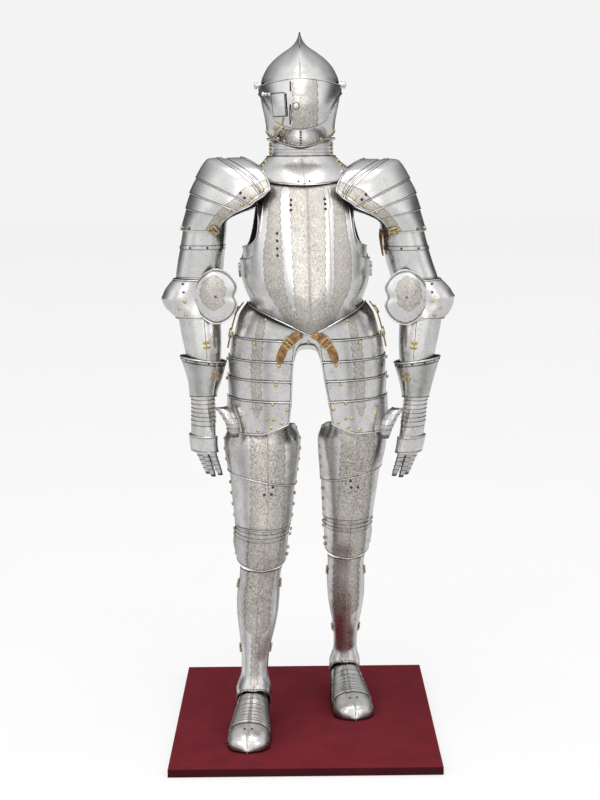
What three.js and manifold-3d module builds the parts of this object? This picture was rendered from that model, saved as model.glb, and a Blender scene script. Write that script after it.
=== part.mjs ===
// A suit of plate armour standing on a low square-edged plinth.
// Millimetres, +Z up, front towards -Y, origin at the centre of the plinth's underside.
// Every plate is a thin wall: an outer skin worked out from a table of sections, and an
// inner skin one wall thickness behind it.

import * as THREE from 'three';
import { mergeVertices } from 'three/addons/utils/BufferGeometryUtils.js';
import Module from 'manifold-3d';

const wasm = await Module();
wasm.setup();

// ---------------------------------------------------------------- driving dimensions

const PLINTH = { wide: 675, deep: 760, thick: 22 };
const SOLE_GAP = 0.3; // the soles stand this far clear of the plinth's top
const WALL = 1.8; // plate thickness
const SEAM = 1.2; // clearance between plates that lap
const STEP = WALL + SEAM; // how far a lapping plate stands outside the one below
const LAP = 14; // how far a lame runs on under its neighbour
const WELD = 1e-3; // vertices closer than this are one vertex

const TORSO = { x: 0, y: 50 }; // centre of the body's sections
const NECK = { x: 5, y: 52 }; // centre of the round collar, and the helmet's turning axis
const PIVOT = { x: 4, y: 60, h: 1652 }; // the bolts that the visor and bevor swing on
const ARMS = { x: 9 }; // the arms are measured outward from this centre line
const SKIRT_AXIS = { x: 15, y: 50 };

const RIGHT = { name: 'right', sign: -1, drop: 0 };
const LEFT = { name: 'left', sign: 1, drop: 7 };

// ---------------------------------------------------------------- finishes

const metal = (color, roughness) => new THREE.MeshStandardMaterial({ color, roughness, metalness: 1 });
const STEEL = metal(0xc4c6c9, 0.28);
const LEATHER = new THREE.MeshStandardMaterial({ color: 0xa8732f, roughness: 0.7, metalness: 0 });
const CLOTH = new THREE.MeshStandardMaterial({ color: 0x741a26, roughness: 0.9, metalness: 0 });

// ---------------------------------------------------------------- tables and curves

const degrees = THREE.MathUtils.degToRad;
const lerp = THREE.MathUtils.lerp;
const clamp = THREE.MathUtils.clamp;

/** Monotone cubic through (keys, values), flat beyond both ends. */
function smoothCurve(keys, values) {
  const slopes = keys.map((_, i) => {
    if (i === 0 || i === keys.length - 1) return 0;
    const before = (values[i] - values[i - 1]) / (keys[i] - keys[i - 1]);
    const after = (values[i + 1] - values[i]) / (keys[i + 1] - keys[i]);
    return before * after <= 0 ? 0 : (2 * before * after) / (before + after);
  });
  return (key) => {
    if (key <= keys[0]) return values[0];
    if (key >= keys[keys.length - 1]) return values[keys.length - 1];
    const i = keys.findIndex((k) => k > key) - 1;
    const span = keys[i + 1] - keys[i];
    const t = (key - keys[i]) / span;
    const a = 2 * t ** 3 - 3 * t ** 2 + 1;
    const b = t ** 3 - 2 * t ** 2 + t;
    const d = t ** 3 - t ** 2;
    return a * values[i] + b * span * slopes[i] + (1 - a) * values[i + 1] + d * span * slopes[i + 1];
  };
}

/** Rows of named columns, the first one the key in rising order; read anywhere between them. */
function table(names, rows) {
  const keys = rows.map((row) => row[0]);
  const curves = names.slice(1).map((name, i) => [name, smoothCurve(keys, rows.map((row) => row[i + 1]))]);
  return (key) => Object.fromEntries(curves.map(([name, curve]) => [name, curve(key)]));
}

/** A curve over the angle from the front, the same on both sides. */
function bothSides(pairs) {
  const curve = smoothCurve(pairs.map((p) => p[0]), pairs.map((p) => p[1]));
  return (angle) => curve(Math.abs(angle));
}

/** A curve over a signed angle. */
const oneWay = (pairs) => smoothCurve(pairs.map((p) => p[0]), pairs.map((p) => p[1]));

const steps = (from, to, count) => Array.from({ length: count + 1 }, (_, i) => lerp(from, to, i / count));
const mirrored = (angles) => [...angles.slice(1).reverse().map((a) => -a), ...angles];

// ---------------------------------------------------------------- sections (heights above the soles)

const HELMET = table(['h', 'wide', 'front', 'back', 'full', 'keel'], [
  [1496, 86, 94, 84, 1, 3],
  [1515, 85.5, 112, 85, 1, 5],
  [1530, 86, 132, 87, 1, 6],
  [1548, 87, 152, 94, 1, 7],
  [1570, 90, 161, 108, 1, 7],
  [1597, 95.5, 165, 122, 1, 7],
  [1617, 99.5, 162, 129, 1, 7],
  [1637, 102, 153, 132, 1, 6],
  [1652, 102.5, 144, 133, 1, 6],
  [1668, 99.5, 133, 132, 1, 6],
  [1677, 96, 129, 129, 1.04, 6],
  [1697, 85.5, 122, 122, 1.1, 8],
  [1717, 68, 110, 112, 1.16, 10],
  [1736, 44, 92, 96, 1.25, 12],
  [1752, 20.5, 72, 78, 1.3, 12],
  [1766, 9.5, 54, 60, 1.2, 8],
  [1777, 5.2, 34, 42, 1.1, 4],
  [1784.5, 4, 14, 22, 1, 0],
]);

const BODY = table(['h', 'x', 'wide', 'front', 'back', 'full', 'keel'], [
  [1036, 15, 128, 190, 86, 0.95, 10],
  [1060, 15, 131, 206, 87, 0.95, 11],
  [1084, 14.5, 137, 214, 88, 0.95, 12],
  [1103, 14.5, 143, 215, 90, 0.95, 12],
  [1125, 14, 152, 214, 93, 0.92, 12],
  [1150, 13.5, 161, 210, 97, 0.9, 11],
  [1182, 13, 167, 203, 103, 0.9, 10],
  [1240, 12, 168, 189, 111, 0.9, 9],
  [1300, 11, 167, 172, 116, 0.9, 8],
  [1350, 10, 164, 156, 116, 0.9, 7],
  [1385, 9.5, 156, 144, 112, 0.9, 6],
  [1405, 9, 144, 134, 105, 0.92, 5],
  [1420, 8.5, 128, 120, 94, 0.95, 4],
  [1434, 8, 104, 98, 80, 1, 3],
]);

const GORGET_TOP = 1476;
const GORGET = table(['h', 'wide', 'front', 'back', 'keel'], [
  [1402, 148, 149, 122, 5],
  [1412, 145, 144, 120, 4],
  [1428, 138, 131, 112, 3],
  [1444, 121, 115, 101, 2],
  [1456, 105, 100, 92, 1],
  [1467, 94, 92, 90, 0],
  [GORGET_TOP, 88, 87, 86, 0],
]);

const COLLAR = table(['h', 'radius'], [
  [1452, 84],
  [1466, 81.5],
  [1485, 79.5],
  [1502, 79],
  [1509, 80.5],
  [1514, 83.5],
  [1517.5, 85.5],
]);

const SKIRT = table(['h', 'wide', 'front', 'back', 'full'], [
  [760, 213, 176, 150, 0.85],
  [842, 210, 178, 155, 0.85],
  [900, 209, 182, 157, 0.86],
  [956, 206, 189, 157, 0.88],
  [1000, 199, 198, 152, 0.9],
  [1036, 191, 205, 145, 0.92],
  [1072, 179, 206, 132, 0.93],
  [1092, 166, 202, 116, 0.94],
  [1106, 156, 198, 102, 0.95],
]);

// The arms: q is the distance outward from the arms' centre line, for each side. The turn brings
// the back of the hand round towards the front.
const ARM = table(['h', 'rightQ', 'leftQ', 'y', 'wide', 'front', 'back', 'turn'], [
  [700, 262, 268, 14, 23, 42, 42, 40],
  [740, 267, 275, 16, 24, 43, 43, 40],
  [775, 267, 280, 20, 27, 44, 43, 34],
  [810, 266, 284, 25, 29, 42, 42, 26],
  [860, 266, 289, 32, 32, 36, 36, 10],
  [905, 262, 291, 38, 38, 42, 42, 0],
  [965, 264, 293, 44, 46, 50, 48, 0],
  [1020, 269, 299, 52, 52, 55, 54, 0],
  [1070, 273, 304, 58, 55, 57, 58, 0],
  [1112, 272, 294, 62, 55, 54, 60, 0],
  [1160, 272, 289, 61, 61, 56, 58, 0],
  [1206, 267, 275, 60, 60, 58, 59, 0],
  [1246, 261, 265, 58, 58, 60, 60, 0],
  [1310, 254, 254, 56, 56, 60, 60, 0],
]);

// The legs: centre and turn for each side, then the section that both share.
const LEG = table(['h', 'rightX', 'rightY', 'leftX', 'leftY', 'turn', 'wide', 'front', 'back', 'full'], [
  [0, -134, -60, 111, 157, 0, 38, 52, 70, 0.95],
  [30, -134, -60, 111, 157, 0, 43, 56, 72, 0.95],
  [60, -134, -60, 111, 157, 0, 46, 60, 62, 0.95],
  [95, -134, -60, 111.5, 156, 0, 47, 62, 52, 0.95],
  [112, -133, -59, 112, 152, 0, 42, 53, 48, 0.97],
  [137, -131, -57, 113, 144, 0, 36, 42, 47, 1],
  [168, -129.5, -54, 113.5, 133, 0, 36.5, 42, 51, 1],
  [212, -127, -50, 114, 118, 0, 41, 46, 60, 1],
  [256, -123.5, -46, 114.5, 107, 0, 48.5, 50, 70, 1],
  [303, -121, -42, 114.5, 96, 0, 54.5, 54, 78, 1],
  [345, -118.5, -40, 114, 88, 0, 56, 57, 78, 1],
  [390, -114, -38, 114, 80, 1, 53.5, 60, 68, 1],
  [433, -109, -36, 116, 74, 3, 57, 70, 60, 1],
  [465, -108, -34, 117, 70, 4, 60.5, 80, 62, 1],
  [497, -107, -32, 117, 67, 5, 63.5, 84, 64, 1],
  [541, -104, -26, 119, 62, 7, 68, 87, 68, 1],
  [600, -103.5, -14, 122, 59, 8, 75.5, 90, 76, 1],
  [650, -103, -5, 125, 57, 8, 81, 93, 82, 1],
  [740, -104, 12, 131, 54, 8, 92, 97, 92, 1],
  [780, -103, 18, 131, 53, 8, 80, 92, 86, 1],
  [830, -100, 30, 131, 50, 8, 76, 90, 84, 1],
]);
const GIRTH = { right: 1.05, left: 0.96 };

// Each row is a hoop over the shoulder: its crest (q, h), its front and back ends, and how much it
// bows towards the neck; a bow of 1 is straight as seen from the front.
const HOOP = ['row', 'crestQ', 'crestH', 'frontQ', 'frontH', 'frontY', 'backQ', 'backH', 'backY', 'bow'];
const SHOULDER = table(HOOP, [
  [0, 152, 1473, 81, 1376, -105, 76, 1371, 186, 1.9],
  [1, 180, 1473, 87, 1370, -106, 80, 1362, 192, 1.8],
  [2, 210, 1473, 98, 1358, -105, 90, 1348, 196, 1.6],
  [3, 241, 1471, 110, 1351, -102, 100, 1337, 194, 1.3],
  [4, 276, 1424, 122, 1344, -97, 116, 1327, 186, 1.15],
  [5, 293, 1385, 153, 1333, -85, 150, 1320, 172, 1.1],
  [6, 304, 1345, 182, 1318, -66, 182, 1310, 154, 1.06],
  [7, 318, 1290, 213, 1287, -34, 213, 1285, 134, 1],
]);
const SHOULDER_Y = 56;

// The foot, by distance ahead of the ankle: half width and height of the arched shell.
const FOOT = table(['d', 'wide', 'tall'], [
  [6, 40, 103],
  [46, 43, 98],
  [95, 49, 76],
  [140, 53, 60],
  [180, 54.5, 49],
  [202, 48, 40],
  [218, 34, 29],
  [230, 0.01, 5],
]);

// ---------------------------------------------------------------- plates

/** Direction that a surface faces, from its two partial differences. */
function facing(surface, u, v, sign) {
  const du = surface(u + 1e-3, v).sub(surface(u - 1e-3, v));
  const dv = surface(u, v + 1e-3).sub(surface(u, v - 1e-3));
  return du.cross(dv).normalize().multiplyScalar(sign);
}

/** Closed mesh from triangles that are given as corner points. */
function closedGeometry(corners) {
  const loose = new THREE.BufferGeometry();
  const numbers = corners.flatMap((p) => [p.x, p.y, p.z]);
  loose.setAttribute('position', new THREE.Float32BufferAttribute(numbers, 3));
  const merged = mergeVertices(loose, WELD);
  const position = merged.getAttribute('position');
  const kept = [];
  let volume = 0;
  const [a, b, c] = [new THREE.Vector3(), new THREE.Vector3(), new THREE.Vector3()];
  for (let i = 0; i < merged.index.count; i += 3) {
    const triangle = [0, 1, 2].map((k) => merged.index.getX(i + k));
    if (new Set(triangle).size < 3) continue;
    kept.push(...triangle);
    [a, b, c].forEach((corner, k) => corner.fromBufferAttribute(position, triangle[k]));
    volume += a.dot(b.cross(c));
  }
  if (volume < 0) kept.reverse();
  const geometry = new THREE.BufferGeometry();
  geometry.setAttribute('position', position);
  geometry.setIndex(kept);
  geometry.computeVertexNormals();
  return geometry;
}

/**
 * A wall over a grid of stations. surface(u, v) is the base form, lift(u, v) how far the outer
 * skin stands off it, and open(i, j) leaves a cell of the grid out. ring joins the last u to the first.
 */
function wallGeometry({
  surface, us, vs, lift = () => 0, sign = 1, wall = WALL, ring = false, open = () => false,
}) {
  const skin = (depth) => us.map((u) => vs.map((v) => {
    const away = facing(surface, u, v, sign).multiplyScalar(lift(u, v) - depth);
    return surface(u, v).add(away);
  }));
  const outer = skin(0);
  const inner = skin(wall);
  const columns = ring ? us.length : us.length - 1;
  const rows = vs.length - 1;
  const next = (i) => (i + 1) % us.length;
  const present = (i, j) => {
    if (j < 0 || j >= rows) return false;
    if (!ring && (i < 0 || i >= columns)) return false;
    return !open((i + columns) % columns, j);
  };
  const corners = [];
  const quad = (p, q, r, s) => corners.push(p, q, r, p, r, s);
  for (let i = 0; i < columns; i += 1) {
    for (let j = 0; j < rows; j += 1) {
      if (!present(i, j)) continue;
      const k = next(i);
      quad(outer[i][j], outer[k][j], outer[k][j + 1], outer[i][j + 1]);
      quad(inner[i][j], inner[i][j + 1], inner[k][j + 1], inner[k][j]);
      if (!present(i, j - 1)) quad(outer[i][j], inner[i][j], inner[k][j], outer[k][j]);
      if (!present(i, j + 1)) quad(outer[i][j + 1], outer[k][j + 1], inner[k][j + 1], inner[i][j + 1]);
      if (!present(i - 1, j)) quad(outer[i][j], outer[i][j + 1], inner[i][j + 1], inner[i][j]);
      if (!present(i + 1, j)) quad(outer[k][j], inner[k][j], inner[k][j + 1], outer[k][j + 1]);
    }
  }
  return closedGeometry(corners);
}

function named(name, geometry, material = STEEL) {
  const mesh = new THREE.Mesh(geometry, material);
  mesh.name = name;
  return mesh;
}

/** Stations along a plate from its low edge, 0, to its high edge, 1; -1 and 2 are the ends of a lap. */
const TUCKS = { none: [], high: [2], low: [-1], both: [-1, 2] };
const RAMPS = { none: () => 0, high: (v) => v, low: (v) => 1 - v, both: () => 1 };

/**
 * A plate laid on a round form. form(angle, h) is the form; the plate spans the given angles in
 * degrees, from the low edge to the high edge, each a height or a curve over the angle. tuck names
 * the edge that runs on under the neighbouring plate, by one lap.
 */
function plate(name, form, { angles, low, high, rows, out = 0, tuck = 'none', flare = () => 0, ...rest }) {
  const at = (edge, angle) => (typeof edge === 'function' ? edge(angle) : edge);
  const height = (angle, v) => {
    const past = v < 0 ? v * LAP : Math.max(0, v - 1) * LAP;
    return lerp(at(low, angle), at(high, angle), clamp(v, 0, 1)) + past;
  };
  const inside = Array.isArray(rows) ? rows : steps(0, 1, rows);
  const geometry = wallGeometry({
    surface: (u, v) => form.at(degrees(u), height(u, v)),
    us: angles,
    vs: [...inside, ...TUCKS[tuck]].sort((a, b) => a - b),
    lift: (u, v) => out - STEP * RAMPS[tuck](clamp(v, 0, 1)) + flare(v, u),
    sign: form.sign ?? 1,
    ...rest,
  });
  return named(name, geometry);
}

/** Point on a flattened round section: angle 0 is the front and a quarter turn is the outward side. */
function onSection({ wide, front, back, full = 1, keel = 0 }, angle) {
  const s = Math.sin(angle);
  const c = Math.cos(angle);
  const q = wide * Math.sign(s) * Math.abs(s) ** full;
  const ridge = keel * Math.max(0, 1 - Math.abs(q) / (0.45 * wide)) * (Math.abs(c) > 0.5 ? 1 : 0);
  const depth = c > 0 ? front + ridge : back + (keel > 8 && full > 1.15 ? ridge : 0);
  return { q, y: -depth * Math.sign(c) * Math.abs(c) ** full };
}

const RIDGE_SHIFT = { body: 9, gorget: 6 }; // how far the ridge in front stands to the suit's left

const helmetForm = {
  at: (angle, h) => {
    const { q, y } = onSection(HELMET(h), angle);
    return new THREE.Vector3(PIVOT.x + q, PIVOT.y + y, h);
  },
};
const bodyForm = {
  at: (angle, h) => {
    const section = BODY(h);
    const { q, y } = onSection(section, angle);
    const ridgeShift = RIDGE_SHIFT.body * Math.max(0, Math.cos(angle)) ** 2;
    return new THREE.Vector3(TORSO.x + section.x + q + ridgeShift, TORSO.y + y, h);
  },
};
const gorgetForm = {
  at: (angle, h) => {
    const { q, y } = onSection(GORGET(h), angle);
    const shift = (GORGET_TOP - h) / 74;
    const ridgeShift = RIDGE_SHIFT.gorget * Math.max(0, Math.cos(angle)) ** 2;
    return new THREE.Vector3(NECK.x + q + shift * (3 + ridgeShift), NECK.y + y, h);
  },
};
const collarForm = {
  at: (angle, h) => {
    const { radius } = COLLAR(h);
    return new THREE.Vector3(NECK.x + radius * Math.sin(angle), NECK.y - radius * Math.cos(angle), h);
  },
};
const skirtForm = {
  at: (angle, h) => {
    const { q, y } = onSection(SKIRT(h), angle);
    return new THREE.Vector3(SKIRT_AXIS.x + q, SKIRT_AXIS.y + y, h);
  },
};
/** Outward distance and depth of a point on the arm's section, turned with the hand. */
function onArm(side, section, angle) {
  const { q, y } = onSection(section, angle);
  const turn = degrees(section.turn);
  return {
    q: section[`${side.name}Q`] + q * Math.cos(turn) + y * Math.sin(turn),
    y: section.y - q * Math.sin(turn) + y * Math.cos(turn),
  };
}

const armForm = (side) => ({
  sign: side.sign,
  at: (angle, h) => {
    const { q, y } = onArm(side, ARM(h), angle);
    return new THREE.Vector3(ARMS.x + side.sign * q, y, h - side.drop);
  },
});
const legForm = (side) => ({
  sign: side.sign,
  at: (angle, h) => {
    const section = LEG(h);
    const { q, y } = onSection(section, angle);
    const girth = GIRTH[side.name];
    const point = new THREE.Vector3(side.sign * q * girth, y * girth, 0);
    point.applyAxisAngle(new THREE.Vector3(0, 0, 1), degrees(section.turn));
    return point.add(new THREE.Vector3(section[`${side.name}X`], section[`${side.name}Y`], h));
  },
});
const shoulderForm = (side) => ({
  sign: side.sign,
  at: (angle, row) => {
    const hoop = SHOULDER(row);
    const end = angle < 0 ? 'front' : 'back';
    const rise = Math.max(0.01, Math.cos(angle));
    const q = lerp(hoop[`${end}Q`], hoop.crestQ, rise ** hoop.bow);
    const h = lerp(hoop[`${end}H`], hoop.crestH, rise ** (1 / Math.sqrt(hoop.bow)));
    const y = lerp(SHOULDER_Y, hoop[`${end}Y`], Math.abs(Math.sin(angle)));
    return new THREE.Vector3(ARMS.x + side.sign * q, y, h - side.drop);
  },
});

// ---------------------------------------------------------------- helmet

const HELMET_LIFT = { skull: -2, bevor: STEP - 2, visor: 2 * STEP - 2, door: 3 * STEP - 1 };
const FACE_ANGLES = [0, 8, 17, 29, 42, 54, 66, 78, 85, 92];
const DOOR = { from: -42, to: -17, low: 1572, high: 1628 };

const FACE_EDGE = 85; // the skull's walls start this far round from the front, below the brow

function helmetSkull() {
  const low = bothSides([[0, 1536], [92, 1532], [120, 1524], [180, 1512]]);
  const angles = mirrored([...FACE_ANGLES, 120, 150, 180]).slice(0, -1);
  const rows = [0, 0.17, 0.33, 0.5, 0.64, 0.77, 0.89, 1];
  const brow = rows.indexOf(0.5);
  const open = (i, j) => j < brow && angles[i] >= -FACE_EDGE && angles[i] < FACE_EDGE;
  return plate('helmet_skull', helmetForm, {
    angles, low, high: 1784.5, rows, ring: true, out: HELMET_LIFT.skull, open,
  });
}

function helmetBevor() {
  const low = bothSides([[0, 1498], [30, 1507], [60, 1525], [80, 1531], [92, 1532]]);
  const high = bothSides([[0, 1551], [30, 1556], [44, 1578], [56, 1618], [70, 1645], [92, 1647]]);
  return plate('helmet_bevor', helmetForm, {
    angles: mirrored(FACE_ANGLES), low, high, rows: 3, out: HELMET_LIFT.bevor,
  });
}

function visor() {
  const low = bothSides([
    [0, 1543], [22, 1548], [42, 1562], [52, 1583], [61, 1608], [76, 1627], [97, 1632],
  ]);
  const high = bothSides([[0, 1663], [30, 1658], [60, 1652], [97, 1650]]);
  const angles = mirrored([...FACE_ANGLES, 97]);
  const doorColumns = angles.map((angle, i) => (angle >= DOOR.from && angle < DOOR.to ? i : -1));
  const rows = [0, 0.25, 0.65, 1];
  const open = (i, j) => doorColumns.includes(i) && j === 1;
  const flare = (v) => 2 * Math.max(0, 1 - v / rows[1]);
  return plate('visor', helmetForm, { angles, low, high, rows, out: HELMET_LIFT.visor, open, flare });
}

function visorDoor() {
  const { from, to, low, high } = DOOR;
  return plate('visor_door', helmetForm, {
    angles: [from, -29, to], low, high, rows: 2, out: HELMET_LIFT.door,
  });
}

// ---------------------------------------------------------------- collar

function gorget() {
  const around = steps(-180, 180, 18).slice(0, -1);
  const collar = plate('gorget_collar', collarForm, {
    angles: around, low: 1464, high: 1517.5, rows: [0, 0.5, 0.85, 1], ring: true,
  });
  const low = bothSides([[0, 1405], [30, 1410], [60, 1424], [90, 1434], [130, 1426], [180, 1412]]);
  const shoulders = plate('gorget_plate', gorgetForm, {
    angles: around, low, high: GORGET_TOP, rows: [0, 0.45, 1], ring: true,
  });
  return [collar, shoulders];
}

// ---------------------------------------------------------------- cuirass

const WAIST_RISE = 62; // how much higher the waist is at the sides than at the front point
const WAIST_POINT = 1040;
const aside = (angle) => Math.abs(Math.sin(degrees(clamp(angle, -90, 90))));
const waistLine = (angle) => WAIST_POINT + WAIST_RISE * aside(angle) ** 0.95;
const waistFlare = (v) => 8 * Math.max(0, 1 - v / 0.09) ** 2;

// The armhole: where the breastplate stops, and where the gusset's own rim runs.
const ARMHOLE = table(['along', 'plateAngle', 'plateH', 'rimAngle', 'rimH'], [
  [0, 41, 1372, 50, 1362],
  [0.25, 35, 1318, 46.5, 1318],
  [0.5, 36, 1264, 49, 1278],
  [0.75, 50, 1229, 60, 1255],
  [1, 88, 1214, 88, 1244],
]);

function breastplate() {
  const high = bothSides([
    [0, 1414], [30, 1416], [35, 1420], [38, 1400], [40.5, 1300], [47, 1240], [60, 1222], [92, 1213],
  ]);
  const angles = mirrored([0, 12, 26, 38, 41, 52, 65, 80, 92]);
  const rows = [0, 0.05, 0.12, 0.33, 0.56, 0.8, 1];
  return plate('breastplate', bodyForm, { angles, low: waistLine, high, rows, flare: waistFlare });
}

function backplate() {
  const neckline = bothSides([[0, 1416], [40, 1426], [46, 1400], [52, 1300], [62, 1250], [96, 1214]]);
  const high = (angle) => neckline(angle - 180);
  const half = [0, 20, 40, 48, 60, 76, 94];
  const angles = mirrored(half).map((a) => 180 + a);
  return plate('backplate', bodyForm, { angles, low: 1106, high, rows: 5, out: -STEP - 1 });
}

function gusset(side) {
  const surface = (along, across) => {
    const row = ARMHOLE(along);
    const angle = side.sign * degrees(lerp(row.plateAngle - 2, row.rimAngle, across));
    return bodyForm.at(angle, lerp(row.plateH - 8, row.rimH, across));
  };
  const geometry = wallGeometry({
    surface, us: steps(0, 1, 6), vs: [0, 1], lift: () => -STEP - 5, sign: side.sign,
  });
  return named(`gusset_${side.name}`, geometry);
}

// ---------------------------------------------------------------- fauld, culet and tassets

const SKIRT_H = { seam: 1020, first: 965, second: 915, third: 862 };

function fauld() {
  const high = (angle) => waistLine(angle) + 2;
  const low = bothSides([[0, 1010], [10, 1012], [18, SKIRT_H.seam], [92, SKIRT_H.seam]]);
  const angles = mirrored([0, 9, 18, 30, 42, 54, 67, 80, 93]);
  return plate('fauld', skirtForm, { angles, low, high, rows: 2, tuck: 'low', out: -3.5 });
}

function culet() {
  const angles = mirrored([0, 17, 34, 51, 68, 85]).map((a) => 180 + a);
  return plate('culet', skirtForm, { angles, low: 985, high: 1100, rows: 3, out: -2 * STEP - 1 });
}

const HEM_FLARE = 2; // how far the lowest lame's foot stands out
const LAME_STEP = STEP + 1;

/** A tasset is four lames, each lapping over the one above, cut back along the inner edge. */
function tasset(side) {
  const edge = table(['h', 'right', 'left', 'outer'], [
    [780, 62, 70, 80], [800, 50, 62, 82], [820, 47, 60, 84],
    [867, 42, 53, 88], [935, 39, 41, 93], [1025, 31, 31, 98],
  ]);
  const surface = (share, h) => {
    const { wide, full } = SKIRT(h);
    const inner = Math.asin((edge(h)[side.name] / wide) ** (1 / full));
    return skirtForm.at(side.sign * lerp(inner, degrees(edge(h).outer), share), h);
  };
  const hem = (share) => 779 + 28 * Math.max(0, 1 - share / 0.28) ** 1.8 - 6 * share;
  const tops = [SKIRT_H.seam, SKIRT_H.first, SKIRT_H.second, SKIRT_H.third];
  return tops.map((top, i) => {
    const last = i === tops.length - 1;
    const foot = (share) => (last ? hem(share) : tops[i + 1]);
    const height = (share, v) => lerp(foot(share), top, Math.max(0, v)) + LAP * Math.min(0, v);
    const geometry = wallGeometry({
      surface: (share, v) => surface(share, height(share, v)),
      us: [0, 0.16, 0.36, 0.57, 0.78, 1],
      vs: last ? [0, 0.33, 0.66, 1] : [-1, 0, 1],
      lift: (_, v) => (last ? HEM_FLARE * (1 - v) ** 2 : -LAME_STEP * clamp(1 - v, 0, 1)),
      sign: side.sign,
    });
    return named(`tasset_${side.name}_${i + 1}`, geometry);
  });
}

/** The strap that ties a tasset to the fauld lies on them, its points moved out. */
function tassetStrap(side) {
  const route = table(['along', 'q', 'h', 'out'], [
    [0, 19, 1036, 2.6], [0.35, 40, 1021, 3.4], [0.7, 62, 996, 4.4], [1, 72, 972, 4.4],
  ]);
  const half = 8;
  const surface = (along, across) => {
    const { q, h } = route(along);
    const ahead = route(Math.min(1, along + 0.02));
    const behind = route(Math.max(0, along - 0.02));
    const run = new THREE.Vector2(ahead.q - behind.q, ahead.h - behind.h).normalize();
    const [x, height] = [q - run.y * across * half, h + run.x * across * half];
    const section = SKIRT(height);
    return skirtForm.at(side.sign * Math.asin(clamp(x / section.wide, 0, 1) ** (1 / section.full)), height);
  };
  const geometry = wallGeometry({
    surface, us: steps(0, 1, 5), vs: [-1, 1], lift: (along) => route(along).out, sign: side.sign, wall: 2,
  });
  return named(`tasset_strap_${side.name}`, geometry, LEATHER);
}

// ---------------------------------------------------------------- arms

/** Five plates over the shoulder; the big middle one lies outside its neighbours. */
function pauldron(side) {
  const form = shoulderForm(side);
  const angles = steps(-84, 84, 8);
  const piece = (name, from, to, count, tuck) => {
    const over = 0.22;
    const [first, last] = { none: [from, to], high: [from, to + over], low: [from - over, to] }[tuck];
    const share = (row) => (row - from) / (to - from);
    const ramp = { none: () => 0, high: share, low: (row) => 1 - share(row) }[tuck];
    const surface = (row, angle) => form.at(degrees(angle), row);
    const geometry = wallGeometry({
      surface, us: steps(first, last, count), vs: angles, lift: (row) => -STEP * ramp(row), sign: -side.sign,
    });
    return named(`pauldron_${name}_${side.name}`, geometry);
  };
  return [
    piece('upper', 0, 2, 2, 'high'),
    piece('main', 2, 4, 2, 'none'),
    piece('lame_1', 4, 5, 1, 'low'),
    piece('lame_2', 5, 6, 1, 'low'),
    piece('lame_3', 6, 7, 1, 'low'),
  ];
}

const aroundArm = steps(-180, 180, 12).slice(0, -1);

function cannons(side) {
  const form = armForm(side);
  const tube = { angles: aroundArm, rows: 2, ring: true };
  return [
    plate(`upper_cannon_${side.name}`, form, { ...tube, low: 1166, high: 1310 }),
    plate(`lower_cannon_${side.name}`, form, { ...tube, low: 925, high: 1070 }),
  ];
}

/** The elbow cup bulges out from the arm's line, and its heart-shaped wing covers the bend. */
function couter(side) {
  const form = armForm(side);
  const [foot, top] = [1062, 1162];
  const bulge = table(['h', 'out'], [
    [foot, 4], [1072, 14], [1088, 32], [1112, 42], [1136, 32], [1152, 14], [top, 4],
  ]);
  const bend = (angle) => Math.max(0, Math.sin(degrees(clamp(angle - 10, 0, 180)))) ** 1.2;
  const cup = plate('cup', form, {
    angles: steps(-12, 200, 7),
    low: foot,
    high: top,
    rows: 4,
    out: 4,
    flare: (v, angle) => bulge(lerp(foot, top, v)).out * bend(angle),
  });
  const wing = couterWing(side);
  return named(`couter_${side.name}`, joined([cup.geometry, wing]));
}

const WING = { rightQ: 227, leftQ: 262, h: 1121, y: -17, wide: 59, tall: 70, notch: 12 };

/** A dished heart with its notch towards the body. */
function couterWing(side) {
  const surface = (turn, reach) => {
    const a = degrees(turn);
    const point = Math.max(0, Math.cos(a));
    const notch = 1 - (WING.notch / WING.wide) * Math.exp(-(((turn - 180) / 13) ** 2));
    const q = WING[`${side.name}Q`] + WING.wide * reach * Math.cos(a) * notch;
    const h = WING.h + WING.tall * reach * Math.sin(a) * (1 - 0.12 * point);
    const y = WING.y + (6 + 20 * point ** 2) * reach ** 2;
    return new THREE.Vector3(ARMS.x + side.sign * q, y, h - side.drop);
  };
  const turns = steps(0, 360, 14).slice(0, -1);
  return wallGeometry({ surface, us: turns, vs: [0.001, 0.6, 1], sign: -side.sign, ring: true });
}

/** Boolean union of closed geometries. */
function joined(geometries) {
  const solids = geometries.map((geometry) => new wasm.Manifold(new wasm.Mesh({
    numProp: 3,
    vertProperties: new Float32Array(geometry.getAttribute('position').array),
    triVerts: new Uint32Array(geometry.index.array),
  })));
  const { vertProperties, triVerts } = solids.reduce((a, b) => a.add(b)).getMesh();
  const geometry = new THREE.BufferGeometry();
  geometry.setAttribute('position', new THREE.BufferAttribute(new Float32Array(vertProperties), 3));
  geometry.setIndex([...triVerts]);
  geometry.computeVertexNormals();
  return geometry;
}

// ---------------------------------------------------------------- gauntlets

function gauntlet(side) {
  const form = armForm(side);
  const cuffTop = (angle) => 956 + 9 * Math.sin(degrees(angle));
  const cuff = plate(`gauntlet_cuff_${side.name}`, form, {
    angles: aroundArm, low: 858, high: cuffTop, rows: 3, ring: true, out: 4, flare: (v) => 12 * v ** 1.5,
  });
  const hand = plate(`gauntlet_hand_${side.name}`, form, {
    angles: steps(-58, 214, 7), low: 746, high: 866, rows: 3,
  });
  return [cuff, hand, fingers(side), thumb(side)];
}

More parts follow.
